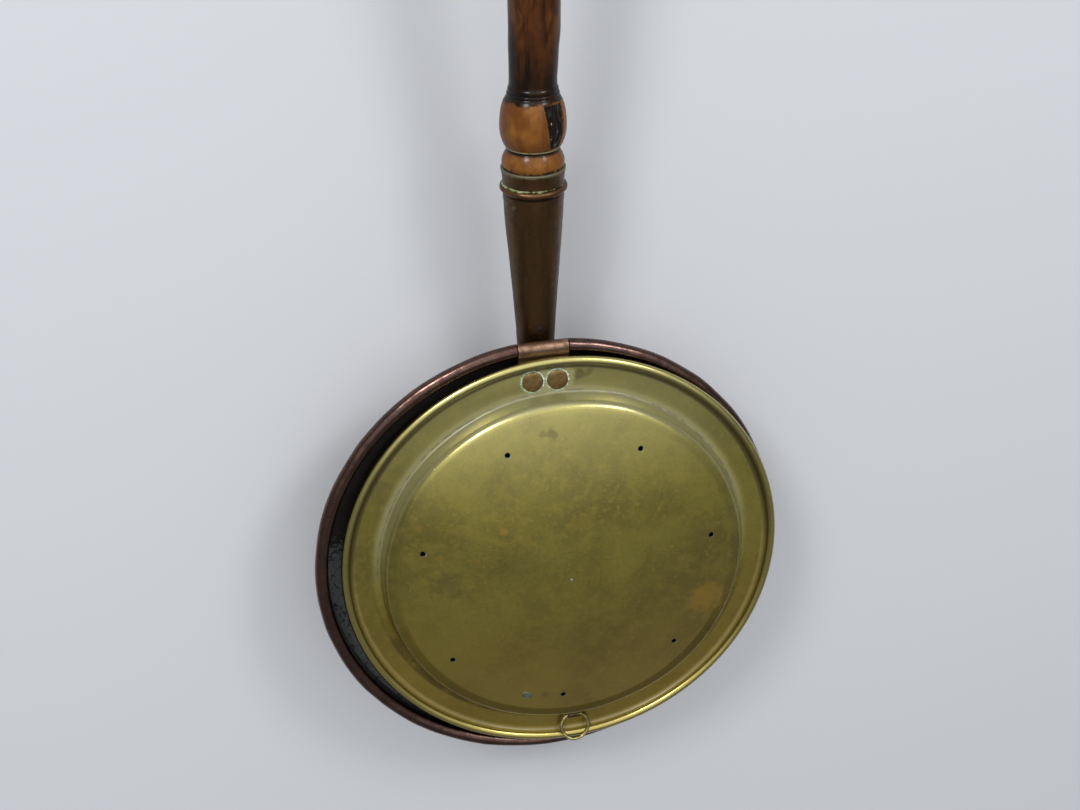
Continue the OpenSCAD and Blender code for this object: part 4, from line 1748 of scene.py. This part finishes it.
@dataclass
class Lid:
    """The brass lid with its rivets, clip and solder patch."""

    side: float = 7.5
    forward: float = 1.4
    lift: float = 67.06454
    cant: float = 1.92
    sheet: float = 0.9
    edge_r: float = 141.1
    bore: float = 2.0
    hollow: float = 2.4
    foot_at: float = 121.6
    foot_r: float = 2.0
    steep: float = 77.0
    shoulder_h: float = 7.0
    crest_r: float = 6.0
    crown_r: float = 620.0
    seam_angle: float = -140.0
    holes: int = 7
    hole_d: float = 3.2
    hole_ring_r: float = 95.8
    hole_first: float = 111.5
    rivet_xs: tuple[float, float] = (-15.15, 0.15)
    rivet_y: float = 128.523
    rivet_r: float = 6.5
    clip_x: float = 2.2
    clip_y: float = -125.5
    clip_z: float = 0.18
    clip_w: float = 8.5
    patch_l: float = 8.0
    patch_w: float = 4.8
    patch_t: float = 0.5
    plug_d: float = 3.2
    patch_turn: float = 250.9
    patch_at: float = 96.9
    steps: int = 288

    def seat(self) -> Matrix:
        """The lid's own frame, at the middle of its rolled edge.

        Returns:
            The frame.
        """
        tilt = Matrix.Rotation(math.radians(-self.cant), 4, "Y")
        return offset(self.side, -self.forward, self.lift) @ tilt

    def path(self) -> Profile:
        """Middle of the sheet from the crown's centre to the end of the roll.

        Returns:
            The points of the path.
        """
        mid = self.sheet / 2
        low = -self.bore - mid
        steep = math.radians(self.steep)
        foot_rise = self.foot_r * (1 - math.cos(steep))
        slope_foot = (self.foot_at - self.foot_r * math.sin(steep), low + mid + foot_rise)
        slope_top = (slope_foot[0] - self.shoulder_h / math.tan(steep), slope_foot[1] + self.shoulder_h)
        crest = (
            slope_top[0] - self.crest_r * math.sin(steep),
            slope_top[1] - self.crest_r * math.cos(steep),
        )
        edge = crest[0] / (1 - self.crest_r / self.crown_r)
        lean = math.degrees(math.asin(edge / self.crown_r))
        centre_z = crest[1] + self.crest_r * math.cos(math.radians(lean))
        centre_z -= math.sqrt(self.crown_r**2 - edge**2)
        crown = arc(0.0, centre_z, self.crown_r - mid, 90, 90 - lean, 40)
        bend = arc(crest[0], crest[1], self.crest_r - mid, 90 - lean, 90 - self.steep, 8)[1:]
        foot = arc(self.foot_at, low + mid + self.foot_r, self.foot_r + mid, -90 - self.steep, -90, 6)
        slope = line(bend[-1], foot[0], 6)[1:-1]
        tube_r, hollow = self.bore + mid, self.hollow + mid
        meet = math.degrees(math.asin((hollow - tube_r) / (hollow + tube_r)))
        rise = arc(self.edge_r - 2 * math.sqrt(tube_r * hollow), hollow - tube_r, hollow, -90, -meet, 10)
        roll = arc(self.edge_r, 0.0, tube_r, 180 - meet, self.seam_angle, 36)[1:]
        flange = line(foot[-1], rise[0], 6)[1:-1]
        return [(0.0, crown[0][1])] + crown[1:] + bend + slope + foot + flange + rise + roll

    def crown_z(self, r: float) -> float:
        """Height of the crown's upper face at a radius.

        Args:
            r: Radius, in millimetres.

        Returns:
            The height.
        """
        top = self.path()[0][1] + self.sheet / 2
        return top - self.crown_r + math.sqrt(self.crown_r**2 - r**2)

    def warp(self, r: float, z: float, a: float) -> Point:
        """Unevenness of the spun and handled sheet.

        Args:
            r: Radius, in millimetres.
            z: Height, in millimetres; not used.
            a: Angle round the axis, in radians.

        Returns:
            Extra radius and extra height.
        """
        flange = clamp((r - 122.0) / 6.0) * clamp((137.0 - r) / 4.0)
        crown = clamp((110.0 - r) / 30.0) * min(r / 30.0, 1.0)
        lift = 0.16 * flange * wave(a, 2.2, 11.0) + 0.3 * crown * wave(a, 0.012 * r + 0.6, 14.0)
        shoulder = clamp((r - 104.0) / 8.0) * clamp((126.0 - r) / 5.0)
        return shoulder * (0.35 * wave(a, 2.6, 17.0) + 0.5 * math.cos(a + 0.35)), lift

    def build_plate(self, finish: Material) -> None:
        """Makes the plate and drills its air holes.

        Args:
            finish: Its material.
        """
        outline = spun_sheet(self.path(), self.sheet)
        plate = lathe("lid_shell", outline, False, self.steps, self.warp)
        verts: list[Point3] = []
        faces: list[list[int]] = []
        sides = 20
        for i in range(self.holes):
            a = math.radians(self.hole_first - i * 360 / self.holes)
            x, y = self.hole_ring_r * math.cos(a), self.hole_ring_r * math.sin(a)
            rings: list[list[int]] = []
            for z in (5.0, 30.0):
                ring = []
                for k in range(sides):
                    t = 2 * math.pi * k / sides
                    r = self.hole_d / 2 * (1 + 0.05 * wave(t, 1.0, i * 3.0))
                    ring.append(len(verts))
                    verts.append((x + r * math.cos(t), y + r * math.sin(t), z))
                rings.append(ring)
            faces += bridge(rings, False) + [rings[0][::-1], rings[1]]
        cut(plate, new_object("drills", verts, faces))
        settle(plate, self.seat(), Body.LID, finish, ["lid_plate"])

    def build_rivets(self, finish: Material, growth: Material) -> None:
        """Makes the two hammered rivets, tail and shank too, and the crust round their heads.

        Args:
            finish: Its material.
            growth: The crust's material.
        """
        big, small, shank, grip = self.rivet_r, 3.5, 2.0, self.sheet + 1.12
        for i, x in enumerate(self.rivet_xs):
            name = ("left", "right")[i]
            outline = [(0.0, -grip - 1.3), (1.6, -grip - 1.25), (2.8, -grip - 0.95)]
            outline += [(small - 0.2, -grip - 0.5), (small, -grip - 0.2), (small, -grip)]
            outline += [(shank, -grip), (shank, 0.02), (big - 0.15, 0.02)]
            outline += arc(big - 0.5, 0.5, 0.5, -45, 62, 6) + [(big - 1.1, 1.16), (big - 2.4, 1.26)]
            outline += [(1.8, 1.34), (0.0, 1.36)]
            seed = 21.0 + 5 * i

            def hammered(r: float, z: float, a: float, seed: float = seed) -> Point:
                """Slight flats of the hammer.

                Args:
                    r: Radius, in millimetres.
                    z: Height, in millimetres.
                    a: Angle round the axis, in radians.
                    seed: Which pattern is taken.

                Returns:
                    Extra radius and extra height.
                """
                grow = r / self.rivet_r if z > 0 else 0.0
                return 0.14 * grow * wave(a, 1.1, seed) - 0.1 * grow, 0.06 * grow * wave(a, 1.2, seed + 2)

            rivet = lathe(f"rivet_{name}", outline, False, 56, hammered)
            seat = self.seat() @ offset(x, self.rivet_y, -self.bore)
            settle(rivet, seat, Body.LID, finish, ["hinge_rivets"])
            ridge = arc(big + 0.3, 0.0, 0.55, 0, 180, 8) + [(big - 0.25, -0.1), (big + 0.85, -0.1)]

            def crumbly(r: float, z: float, a: float, seed: float = seed) -> Point:
                """Ragged reach and height of the crust.

                Args:
                    r: Radius, in millimetres.
                    z: Height, in millimetres.
                    a: Angle round the axis, in radians.
                    seed: Which pattern is taken.

                Returns:
                    Extra radius and extra height.
                """
                rough = wave(a, 4.0, seed + 4) + 0.5 * wave(a, 13.0, seed + 6)
                out = max(r - self.rivet_r, 0.0)
                return 0.5 * out * rough, 0.5 * max(z, 0.0) * rough - 0.2 * max(z, 0.0)

            ring = lathe(f"rivet_crust_{name}", ridge, True, 96, crumbly)
            settle(ring, seat, Body.LID, growth)

    def build_clip(self, finish: Material) -> None:
        """Makes the folded strip that holds the ring pull.

        Args:
            finish: Its material.
        """
        mid_r, thick, leg_y = 1.7, 0.9, 0.42
        foot_y, foot_z = 4.0, -3.43
        lap = math.degrees(math.asin(leg_y / mid_r))

        def section(x: float) -> Profile:
            """The strip's folded section.

            Args:
                x: Station along X, in millimetres.

            Returns:
                The outline.
            """
            sag = 0.1 * wave(x * 0.35, 1.0, 31.0)
            body = arc(0.0, 0.0, mid_r + sag * 0.3, -90 - lap, -450 + lap, 28)
            left = [(-foot_y, foot_z), (-leg_y - 0.35, foot_z), (-leg_y, foot_z + 0.35), (-leg_y, -2.6)]
            right = [(leg_y, -2.6), (leg_y, foot_z + 0.35), (leg_y + 0.35, foot_z), (foot_y, foot_z)]
            path = left + body + right
            return sheet_outline(path, thick)

        clip = strip("pull_clip", section, -self.clip_w / 2, self.clip_w / 2, 16)
        ease_edges(clip, 0.18)
        seat = self.seat() @ offset(self.clip_x, self.clip_y, self.clip_z)
        settle(clip, seat, Body.LID, finish, ["ring_clip"])

    def build_patch(self, finish: Material) -> None:
        """Makes the blob of solder over the old hole.

        Args:
            finish: Its material.
        """
        half_w, plug, low = self.patch_w / 2, self.plug_d / 2, -self.sheet - 0.05 - self.patch_t
        outline = [(0.0, low), (half_w - 0.3, low), (half_w, low + 0.2), (half_w, low + self.patch_t)]
        outline += [(plug, low + self.patch_t), (plug, -0.35), (half_w - 0.2, -0.3)]
        outline += arc(half_w - 0.25, 0.0, 0.25, -60, 80, 5)
        outline += [(half_w * 0.7, 0.36), (half_w * 0.4, 0.46), (0.0, self.patch_t)]

        def run(r: float, z: float, a: float) -> Point:
            """Long uneven shape of the run solder, on top only.

            Args:
                r: Radius, in millimetres.
                z: Height, in millimetres.
                a: Angle round the axis, in radians.

            Returns:
                Extra radius and extra height.
            """
            if z < -0.32:
                return 0.0, 0.0
            stretch = (self.patch_l / self.patch_w - 1) * r * abs(math.sin(a)) ** 1.5
            share = r / half_w
            return stretch + 0.12 * share * (wave(a, 2.0, 41.0) - 1), 0.06 * wave(a, 1.5, 43.0) * share

        blob = lathe("solder_run", outline, False, 48, run)
        turn = Matrix.Rotation(math.radians(self.patch_turn), 4, "Z")
        place = offset(self.patch_at, 0, self.crown_z(self.patch_at))
        tilt = Matrix.Rotation(math.asin(self.patch_at / self.crown_r), 4, "Y")
        seat = self.seat() @ turn @ place @ tilt
        settle(blob, seat, Body.LID, finish, ["lid_patch"])


@dataclass
class Hinge:
    """The strap that is riveted under the lid and rolled round the pin."""

    width: float = 31.0
    pin_y: float = 147.424
    pin_z: float = 62.0
    bore: float = 3.06
    thick: float = 1.1
    reach: float = 25.0
    plate_z: float = 63.61
    lid_side: float = 7.5
    cant: float = 0.0335

    def section(self, x: float) -> Profile:
        """The strap's section at a station along the pin.

        Args:
            x: Station along X, in millimetres.

        Returns:
            The outline.
        """
        plate = self.plate_z + (x - self.lid_side) * self.cant - self.pin_z
        mid_r = self.bore + self.thick / 2 + 0.04
        barrel = arc(0.0, 0.0, mid_r, 118, -168, 40)
        flat = line((-self.reach, plate), (-6.4, plate), 6)
        x0, y0 = flat[-1]
        x1, y1 = barrel[0]
        rise = [
            (x0 + (x1 - x0) * t, y0 + (y1 - y0) * (t * t * (3 - 2 * t)) ** 0.9)
            for t in (0.2, 0.4, 0.6, 0.8)
        ]
        outline = sheet_outline(flat + rise + barrel, self.thick)
        return [(self.pin_y + y, self.pin_z + z) for y, z in outline]

    def build(self, finish: Material) -> None:
        """Makes the strap and rounds its edges.

        Args:
            finish: Its material.
        """
        strap = strip("hinge_barrel", self.section, -self.width / 2, self.width / 2, 24)
        ease_edges(strap, 0.25, 55)
        settle(strap, Matrix.Identity(4), Body.LID, finish, ["hinge_strap"])


@dataclass
class RingPull:
    """The loose wire ring that lifts the lid."""

    radius: float = 9.65
    wire: float = 1.15
    half: float = 4.55
    rest: float = 15.5292
    steps: int = 72

    def build(self, lid: Lid, finish: Material) -> None:
        """Bends the ring and lays it in its clip.

        Args:
            lid: The lid that it hangs on.
            finish: Its material.
        """
        drop = math.sqrt(self.radius**2 - self.half**2)
        opened = math.asin(self.half / self.radius)
        path: list[Vector] = []
        for i in range(self.steps + 1):
            t = math.pi / 2 + opened + (2 * math.pi - 2 * opened) * i / self.steps
            far = math.sin((t - math.pi / 2) / 2)
            lift = 0.18 * far * wave(t, 1.2, 51.0)
            r = self.radius + 0.2 * far * wave(t, 1.6, 53.0) - 0.1 * far
            path.append(Vector((r * math.cos(t), -drop + r * math.sin(t), lift)))
        for i in range(1, 9):
            path.append(Vector((self.half * (1 - 2 * i / 9), 0.0, 0.0)))
        ring = tube("pull_ring", path, self.wire, 20)
        seat = lid.seat() @ offset(lid.clip_x, lid.clip_y, lid.clip_z)
        seat = seat @ Matrix.Rotation(math.radians(-self.rest), 4, "X")
        settle(ring, seat, Body.PULL, finish, ["ring_pull"])


@dataclass
class Shaft:
    """The handle's own frame, its ferrule and its turned wood."""

    rim_r: float = 148.3
    axis_z: float = 41.8
    rise: float = 8.5
    ferrule_small: float = 11.8
    ferrule_big: float = 17.6
    cone_l: float = 93.0
    sheet: float = 1.0
    lip_end: float = 109.2
    lip_r: float = 18.55
    ferrule_from: float = -26.0
    band_at: float = 97.4
    band_r: float = 2.0
    band_half: float = 2.0
    nail_at: float = 89.0
    nail_r: float = 17.56
    nail_turns: tuple[float, float] = (-50.0, 130.0)
    tenon_from: float = 36.0
    fit: float = 0.1
    wall_z: float = 23.3
    wall_r: float = 130.401
    wall_lean: float = 8.0
    wall_gap: float = 1.9
    wood_bend: tuple[Point, ...] = (
        (36.0, 0.0), (109.0, 0.0), (118.0, 0.1), (125.0, 0.2), (140.0, 0.3),
        (154.0, 0.5), (172.0, 1.0), (186.0, 1.7), (230.0, 1.9), (430.0, 1.4), (735.0, 0.0),
    )

    def seat(self) -> Matrix:
        """The handle's frame: Z runs along it from the rim's centre line, -Y is its top.

        Returns:
            The frame.
        """
        return offset(0, self.rim_r, self.axis_z) @ Matrix.Rotation(math.radians(self.rise - 90), 4, "X")

    def cone(self, s: float) -> float:
        """Radius of the ferrule's cone at a station.

        Args:
            s: Station along the handle, in millimetres.

        Returns:
            The radius.
        """
        return self.ferrule_small + (self.ferrule_big - self.ferrule_small) * s / self.cone_l

    def build_ferrule(self, finish: Material) -> None:
        """Makes the rolled cone with its lip, fits it to the pan's wall, and adds the band.

        Args:
            finish: Its material.
        """
        first, last = self.ferrule_from, self.lip_end
        keys = [(self.cone(s), s) for s in (first, -5.0, 20.0, 44.0)]
        keys += [(15.75, 61.0), (16.55, 71.0), (17.25, 81.0), (17.55, 88.0)]
        keys += [(self.ferrule_big, self.cone_l), (17.65, 99.0), (17.72, 102.0)]
        keys += [(17.88, 104.5), (18.15, 106.4), (self.lip_r, 108.2)]
        outside = soft_run(keys, 1.6) + arc(self.lip_r - 0.45, last - 0.5, 0.5, 20, 90, 4)
        bore = self.ferrule_big - self.sheet
        inside = [(bore, last), (bore, self.cone_l), (self.cone(first) - self.sheet, first)]

        def dented(r: float, z: float, a: float) -> Point:
            """Slight dents of handling, and the lapped seam along the underside.

            Args:
                r: Radius, in millimetres.
                z: Station along the handle, in millimetres.
                a: Angle round the handle, in radians.

            Returns:
                Extra radius and extra height.
            """
            lap = math.exp(-(((a - math.pi / 2) * r / 1.6) ** 2))
            on_cone = 1.0 if 4 < z < 90 else 0.0
            shallow = 0.16 * wave(a, 1.3, 61.0, z * 0.05) - 0.08
            return on_cone * (shallow + 0.12 * lap) * (1.0 if r > self.cone(z) - 0.3 else 0.0), 0.0

        shell = lathe("ferrule_cone", outside + inside, True, 96, dented)
        lean = math.tan(math.radians(self.wall_lean))
        rings = [
            (self.wall_r + self.wall_gap - (self.wall_z + 20) * lean, -20.0),
            (self.wall_r + self.wall_gap + (62.0 - self.wall_z) * lean, 62.0),
        ]
        core = lathe("core", [(0.0, rings[0][1]), *rings, (0.0, rings[1][1])], False, 256)
        core.matrix_world = self.seat().inverted()
        bpy.context.view_layer.update()
        cut(shell, core)
        settle(shell, self.seat(), Body.PAN, finish, ["ferrule"])
        foot = self.ferrule_big - 0.05
        turns = [math.radians(a) for a in range(-88, 89, 11)]
        ridge = [
            (foot + self.band_r * math.cos(t), self.band_at + self.band_half * math.sin(t)) for t in turns
        ]
        band = lathe("ferrule_ridge", ridge, True, 96, self.band_play)
        settle(band, self.seat(), Body.PAN, finish, ["ferrule_band"])

    @staticmethod
    def band_play(r: float, z: float, a: float) -> Point:
        """Unevenness of the band.

        Args:
            r: Radius, in millimetres; not used.
            z: Station along the handle, in millimetres; not used.
            a: Angle round the handle, in radians.

        Returns:
            Extra radius and extra height.
        """
        return 0.08 * wave(a, 3.0, 64.0) - 0.08, 0.12 * wave(a, 2.5, 66.0)

    def build_nails(self, finish: Material) -> None:
        """Drives the two small nails that hold the wood.

        Args:
            finish: Its material.
        """
        for i, turn in enumerate(self.nail_turns):
            outline = [(0.0, -9.0), (0.5, -8.0), (0.9, -6.5), (0.9, 0.02), (1.6, 0.04), (1.55, 0.22)]
            outline += [(1.2, 0.42), (0.6, 0.56), (0.0, 0.6)]
            nail = lathe(f"ferrule_nail_{i + 1}", outline, False, 20)
            a = math.radians(turn)
            place = offset(self.nail_r * math.sin(a), -self.nail_r * math.cos(a), self.nail_at)
            out = Vector((math.sin(a), -math.cos(a), 0.0)).to_track_quat("Z", "Y").to_matrix().to_4x4()
            settle(nail, self.seat() @ place @ out, Body.PAN, finish, ["ferrule_nails"])

    def wood_profile(self) -> Profile:
        """Outline of the turned wood, from the tenon to the button.

        Returns:
            The outline.
        """
        bore = self.ferrule_big - self.sheet - self.fit
        start = self.lip_end + self.fit
        tip = self.tenon_from
        tenon: Profile = [(0.0, tip), (self.cone(tip) - self.sheet - self.fit, tip)]
        tenon += [(bore, self.cone_l), (bore, start)]
        small = [(17.3, start), (17.7, 110.6), (17.95, 112.2), (17.7, 114.0), (17.0, 116.0)]
        small += [(15.9, 118.0), (14.7, 119.6)]
        large = [(14.7, 120.0), (15.9, 121.4), (17.1, 123.6), (18.1, 126.6), (18.7, 130.0), (18.85, 133.5)]
        large += [(18.6, 137.4), (18.15, 141.0), (17.4, 144.2), (16.4, 146.8), (15.4, 148.6), (14.6, 149.6)]
        neck = [(14.5, 149.8), (14.75, 150.5), (14.6, 151.3), (13.9, 151.7)]
        neck += [(13.85, 152.0), (14.15, 152.8), (14.0, 153.8), (13.55, 154.5)]
        shaft = [(13.4, 155.4), (13.3, 158.7), (13.4, 162.5), (13.6, 168.5), (13.78, 175.0)]
        shaft += [(14.05, 181.0), (14.08, 190.0), (14.1, 200.0), (14.2, 224.7)]
        keys = tenon + soft_run(small, 1.0) + soft_run(large, 1.0)
        keys += soft_run(neck, 0.6) + soft_run(shaft, 3.0)
        keys += self.ease((14.2, 224.7), (11.0, 664.7), 48)[1:]
        keys += [(11.9, 665.1)] + self.swell(11.9, 9.6, 4.2, 664.7, 16.0, 14)[1:]
        keys += [(8.9, 681.1), (8.55, 683.0), (8.5, 688.0), (8.55, 693.0), (8.9, 694.5)]
        keys += self.swell(9.5, 6.0, 9.3, 694.9, 39.6, 24) + [(5.2, 734.9), (5.0, 735.4)]
        keys += self.swell(5.0, 3.5, 2.7, 735.5, 8.2, 10)[1:]
        return keys + [(1.5, 743.68), (0.0, 743.7)]

    @staticmethod
    def swell(first: float, last: float, belly: float, start: float, length: float, n: int) -> Profile:
        """Outline of a turned bead.

        Args:
            first: Radius at its start.
            last: Radius at its end.
            belly: How far it swells over the straight line between them.
            start: Station of its start.
            length: Length of the bead.
            n: Number of steps.

        Returns:
            The n + 1 points from start to end.
        """
        run: Profile = []
        for k in range(n + 1):
            u = k / n
            r = first + (last - first) * u + belly * math.sin(math.pi * u)
            run.append((r, start + length * u))
        return run

    @staticmethod
    def ease(start: Point, end: Point, n: int) -> Profile:
        """A smooth run that is straight along the axis at both ends.

        Args:
            start: First radius and station.
            end: Last radius and station.
            n: Number of steps.

        Returns:
            The n + 1 points from start to end.
        """
        (r0, z0), (r1, z1) = start, end
        shares = [i / n for i in range(n + 1)]
        return [(r0 + (r1 - r0) * (1 - math.cos(math.pi * u)) / 2, z0 + (z1 - z0) * u) for u in shares]

    def build_wood(self, finish: Material) -> None:
        """Turns the handle, with the chipped place on its large bead.

        Args:
            finish: Its material.
        """

        def handled(r: float, z: float, a: float) -> Point:
            """Bruises of use and the long chip beside the top of the large bead.

            Args:
                r: Radius, in millimetres; not used.
                z: Station along the handle, in millimetres.
                a: Angle round the handle, in radians.

            Returns:
                Extra radius and extra height.
            """
            if z < self.lip_end + 0.5 or z > 735:
                return 0.0, 0.0
            deep = CHIP.depth(math.degrees(math.atan2(math.cos(a), -math.sin(a))), z)
            rough = 0.75 + 0.35 * wave(a, 9.0, 71.0, z * 0.3)
            return 0.08 * wave(a, 0.9, 73.0, z * 0.03) - 0.12 - 0.85 * deep * rough, 0.0

        wood = lathe("turned_handle", self.wood_profile(), False, 216, handled)
        sway(wood, self.wood_bend)
        settle(wood, self.seat(), Body.PAN, finish, ["wooden_handle"])


@dataclass
class Studio:
    """Floor, lamps and camera."""

    view_place: Point3 = (-0.1231, 0.3875, 0.6663)
    view_right: Point3 = (0.9762, -0.042, 0.213)
    view_up: Point3 = (0.125, 0.9109, -0.3933)
    lens: float = 36.667
    floor_half: float = 4.0
    left_lamp: Point3 = (-0.454, 0.66, 0.60)
    right_lamp: Point3 = (0.45, 0.61, 0.64)
    left_power: float = 22.0
    right_power: float = 14.0
    lamp_away: float = 2.2
    lamp_side: float = 0.5
    sky_colour: Colour = (0.97, 0.98, 1.0, 1.0)
    sky_towards: Point3 = (0.0, 0.55, 0.83)
    sky_from: float = 0.5
    sky_to: float = 0.95
    sky_low: float = 0.3
    sky_high: float = 1.6

    def build_floor(self) -> None:
        """Lays the floor under the pan."""
        half = self.floor_half / MM
        corners = [(-half, -half, 0), (half, -half, 0), (half, half, 0), (-half, half, 0)]
        floor = new_object("floor", corners, [(0, 1, 2, 3)])
        floor.data.materials.append(PlainFloor().material())

    def add_lamp(self, name: str, direction: Point3, power: float) -> None:
        """Hangs one soft lamp that faces the pan.

        Args:
            name: Name of the lamp.
            direction: Direction from the pan to the lamp.
            power: Power, in watts.
        """
        data = bpy.data.lights.new(name, "AREA")
        data.shape = "SQUARE"
        data.size = self.lamp_side
        data.energy = power
        lamp = bpy.data.objects.new(name, data)
        bpy.context.scene.collection.objects.link(lamp)
        way = Vector(direction).normalized()
        lamp.location = way * self.lamp_away
        lamp.rotation_mode = "QUATERNION"
        lamp.rotation_quaternion = way.to_track_quat("Z", "Y")

    def build_light(self) -> None:
        """Sets two ceiling lamps and a world that is brightest over the handle's end."""
        self.add_lamp("lamp_left", self.left_lamp, self.left_power)
        self.add_lamp("lamp_right", self.right_lamp, self.right_power)
        world = bpy.data.worlds.new("room")
        world.use_nodes = True
        g = Graph(world.node_tree)
        way = g.add("TexCoord").outputs["Generated"]
        facing = g.vector("DOT_PRODUCT", way, Vector(self.sky_towards).normalized())
        strength = g.step(facing, self.sky_from, self.sky_to, self.sky_low, self.sky_high)
        ground = world.node_tree.nodes["Background"]
        ground.inputs["Color"].default_value = self.sky_colour
        g.feed(ground.inputs["Strength"], strength)
        bpy.context.scene.world = world

    def build_camera(self) -> None:
        """Stands the camera above and beside the handle."""
        data = bpy.data.cameras.new("camera")
        data.sensor_width = 36.0
        data.lens = self.lens
        camera = bpy.data.objects.new("camera", data)
        bpy.context.scene.collection.objects.link(camera)
        right, up = Vector(self.view_right).normalized(), Vector(self.view_up)
        back = right.cross(up).normalized()
        up = back.cross(right)
        turn = Matrix((right, up, back)).transposed().to_4x4()
        camera.matrix_world = Matrix.Translation(self.view_place) @ turn
        bpy.context.scene.camera = camera

    def build(self) -> None:
        """Sets the whole studio."""
        self.build_floor()
        self.build_light()
        self.build_camera()
        bpy.context.scene.view_settings.view_transform = "Standard"


def main() -> None:
    """Builds each sub-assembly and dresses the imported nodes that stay."""
    logging.basicConfig(level=logging.INFO, format="%(name)s: %(message)s")
    copper = PanCopper().material()
    fitting = FittingCopper().material()
    rivet = FittingCopper("rivet_copper", paint(140, 114, 74), paint(106, 84, 52)).material()
    dull = FittingCopper("clip_metal", paint(78, 66, 44), paint(44, 38, 28)).material()
    brass = LidBrass().material()
    ring_brass = DarkMetal("ring_brass", paint(164, 156, 104), paint(104, 96, 56), 1.0, 0.3, 0.4).material()
    iron = DarkMetal("old_iron", paint(62, 54, 48), paint(30, 26, 24), 0.9, 0.52, 0.8).material()
    solder = DarkMetal("solder", paint(122, 130, 108), paint(84, 90, 76), 0.9, 0.5, 0.9).material()
    growth = Growth().material()

    PanBody().build(copper)
    lid = Lid()
    lid.build_plate(brass)
    lid.build_rivets(rivet, growth)
    lid.build_clip(dull)
    lid.build_patch(solder)
    Hinge().build(fitting)
    RingPull().build(lid, ring_brass)
    shaft = Shaft()
    bronze = FerruleBronze().material()
    shaft.build_ferrule(bronze)
    shaft.build_nails(FittingCopper("nail_metal", paint(100, 90, 64), paint(60, 50, 36), 0.3).material())
    shaft.build_wood(TurnedWood().material())
    for name in ("rim_wire", "hinge_pin", "lid_edge_wire", "socket_plate", "ferrule_pin"):
        dress_node(name, iron)
    dress_node("socket_rivets", fitting)
    for name in ("hanging_eye", "hanging_ring"):
        dress_node(name, ring_brass)
    Studio().build()


if __name__ == "__main__":
    main()
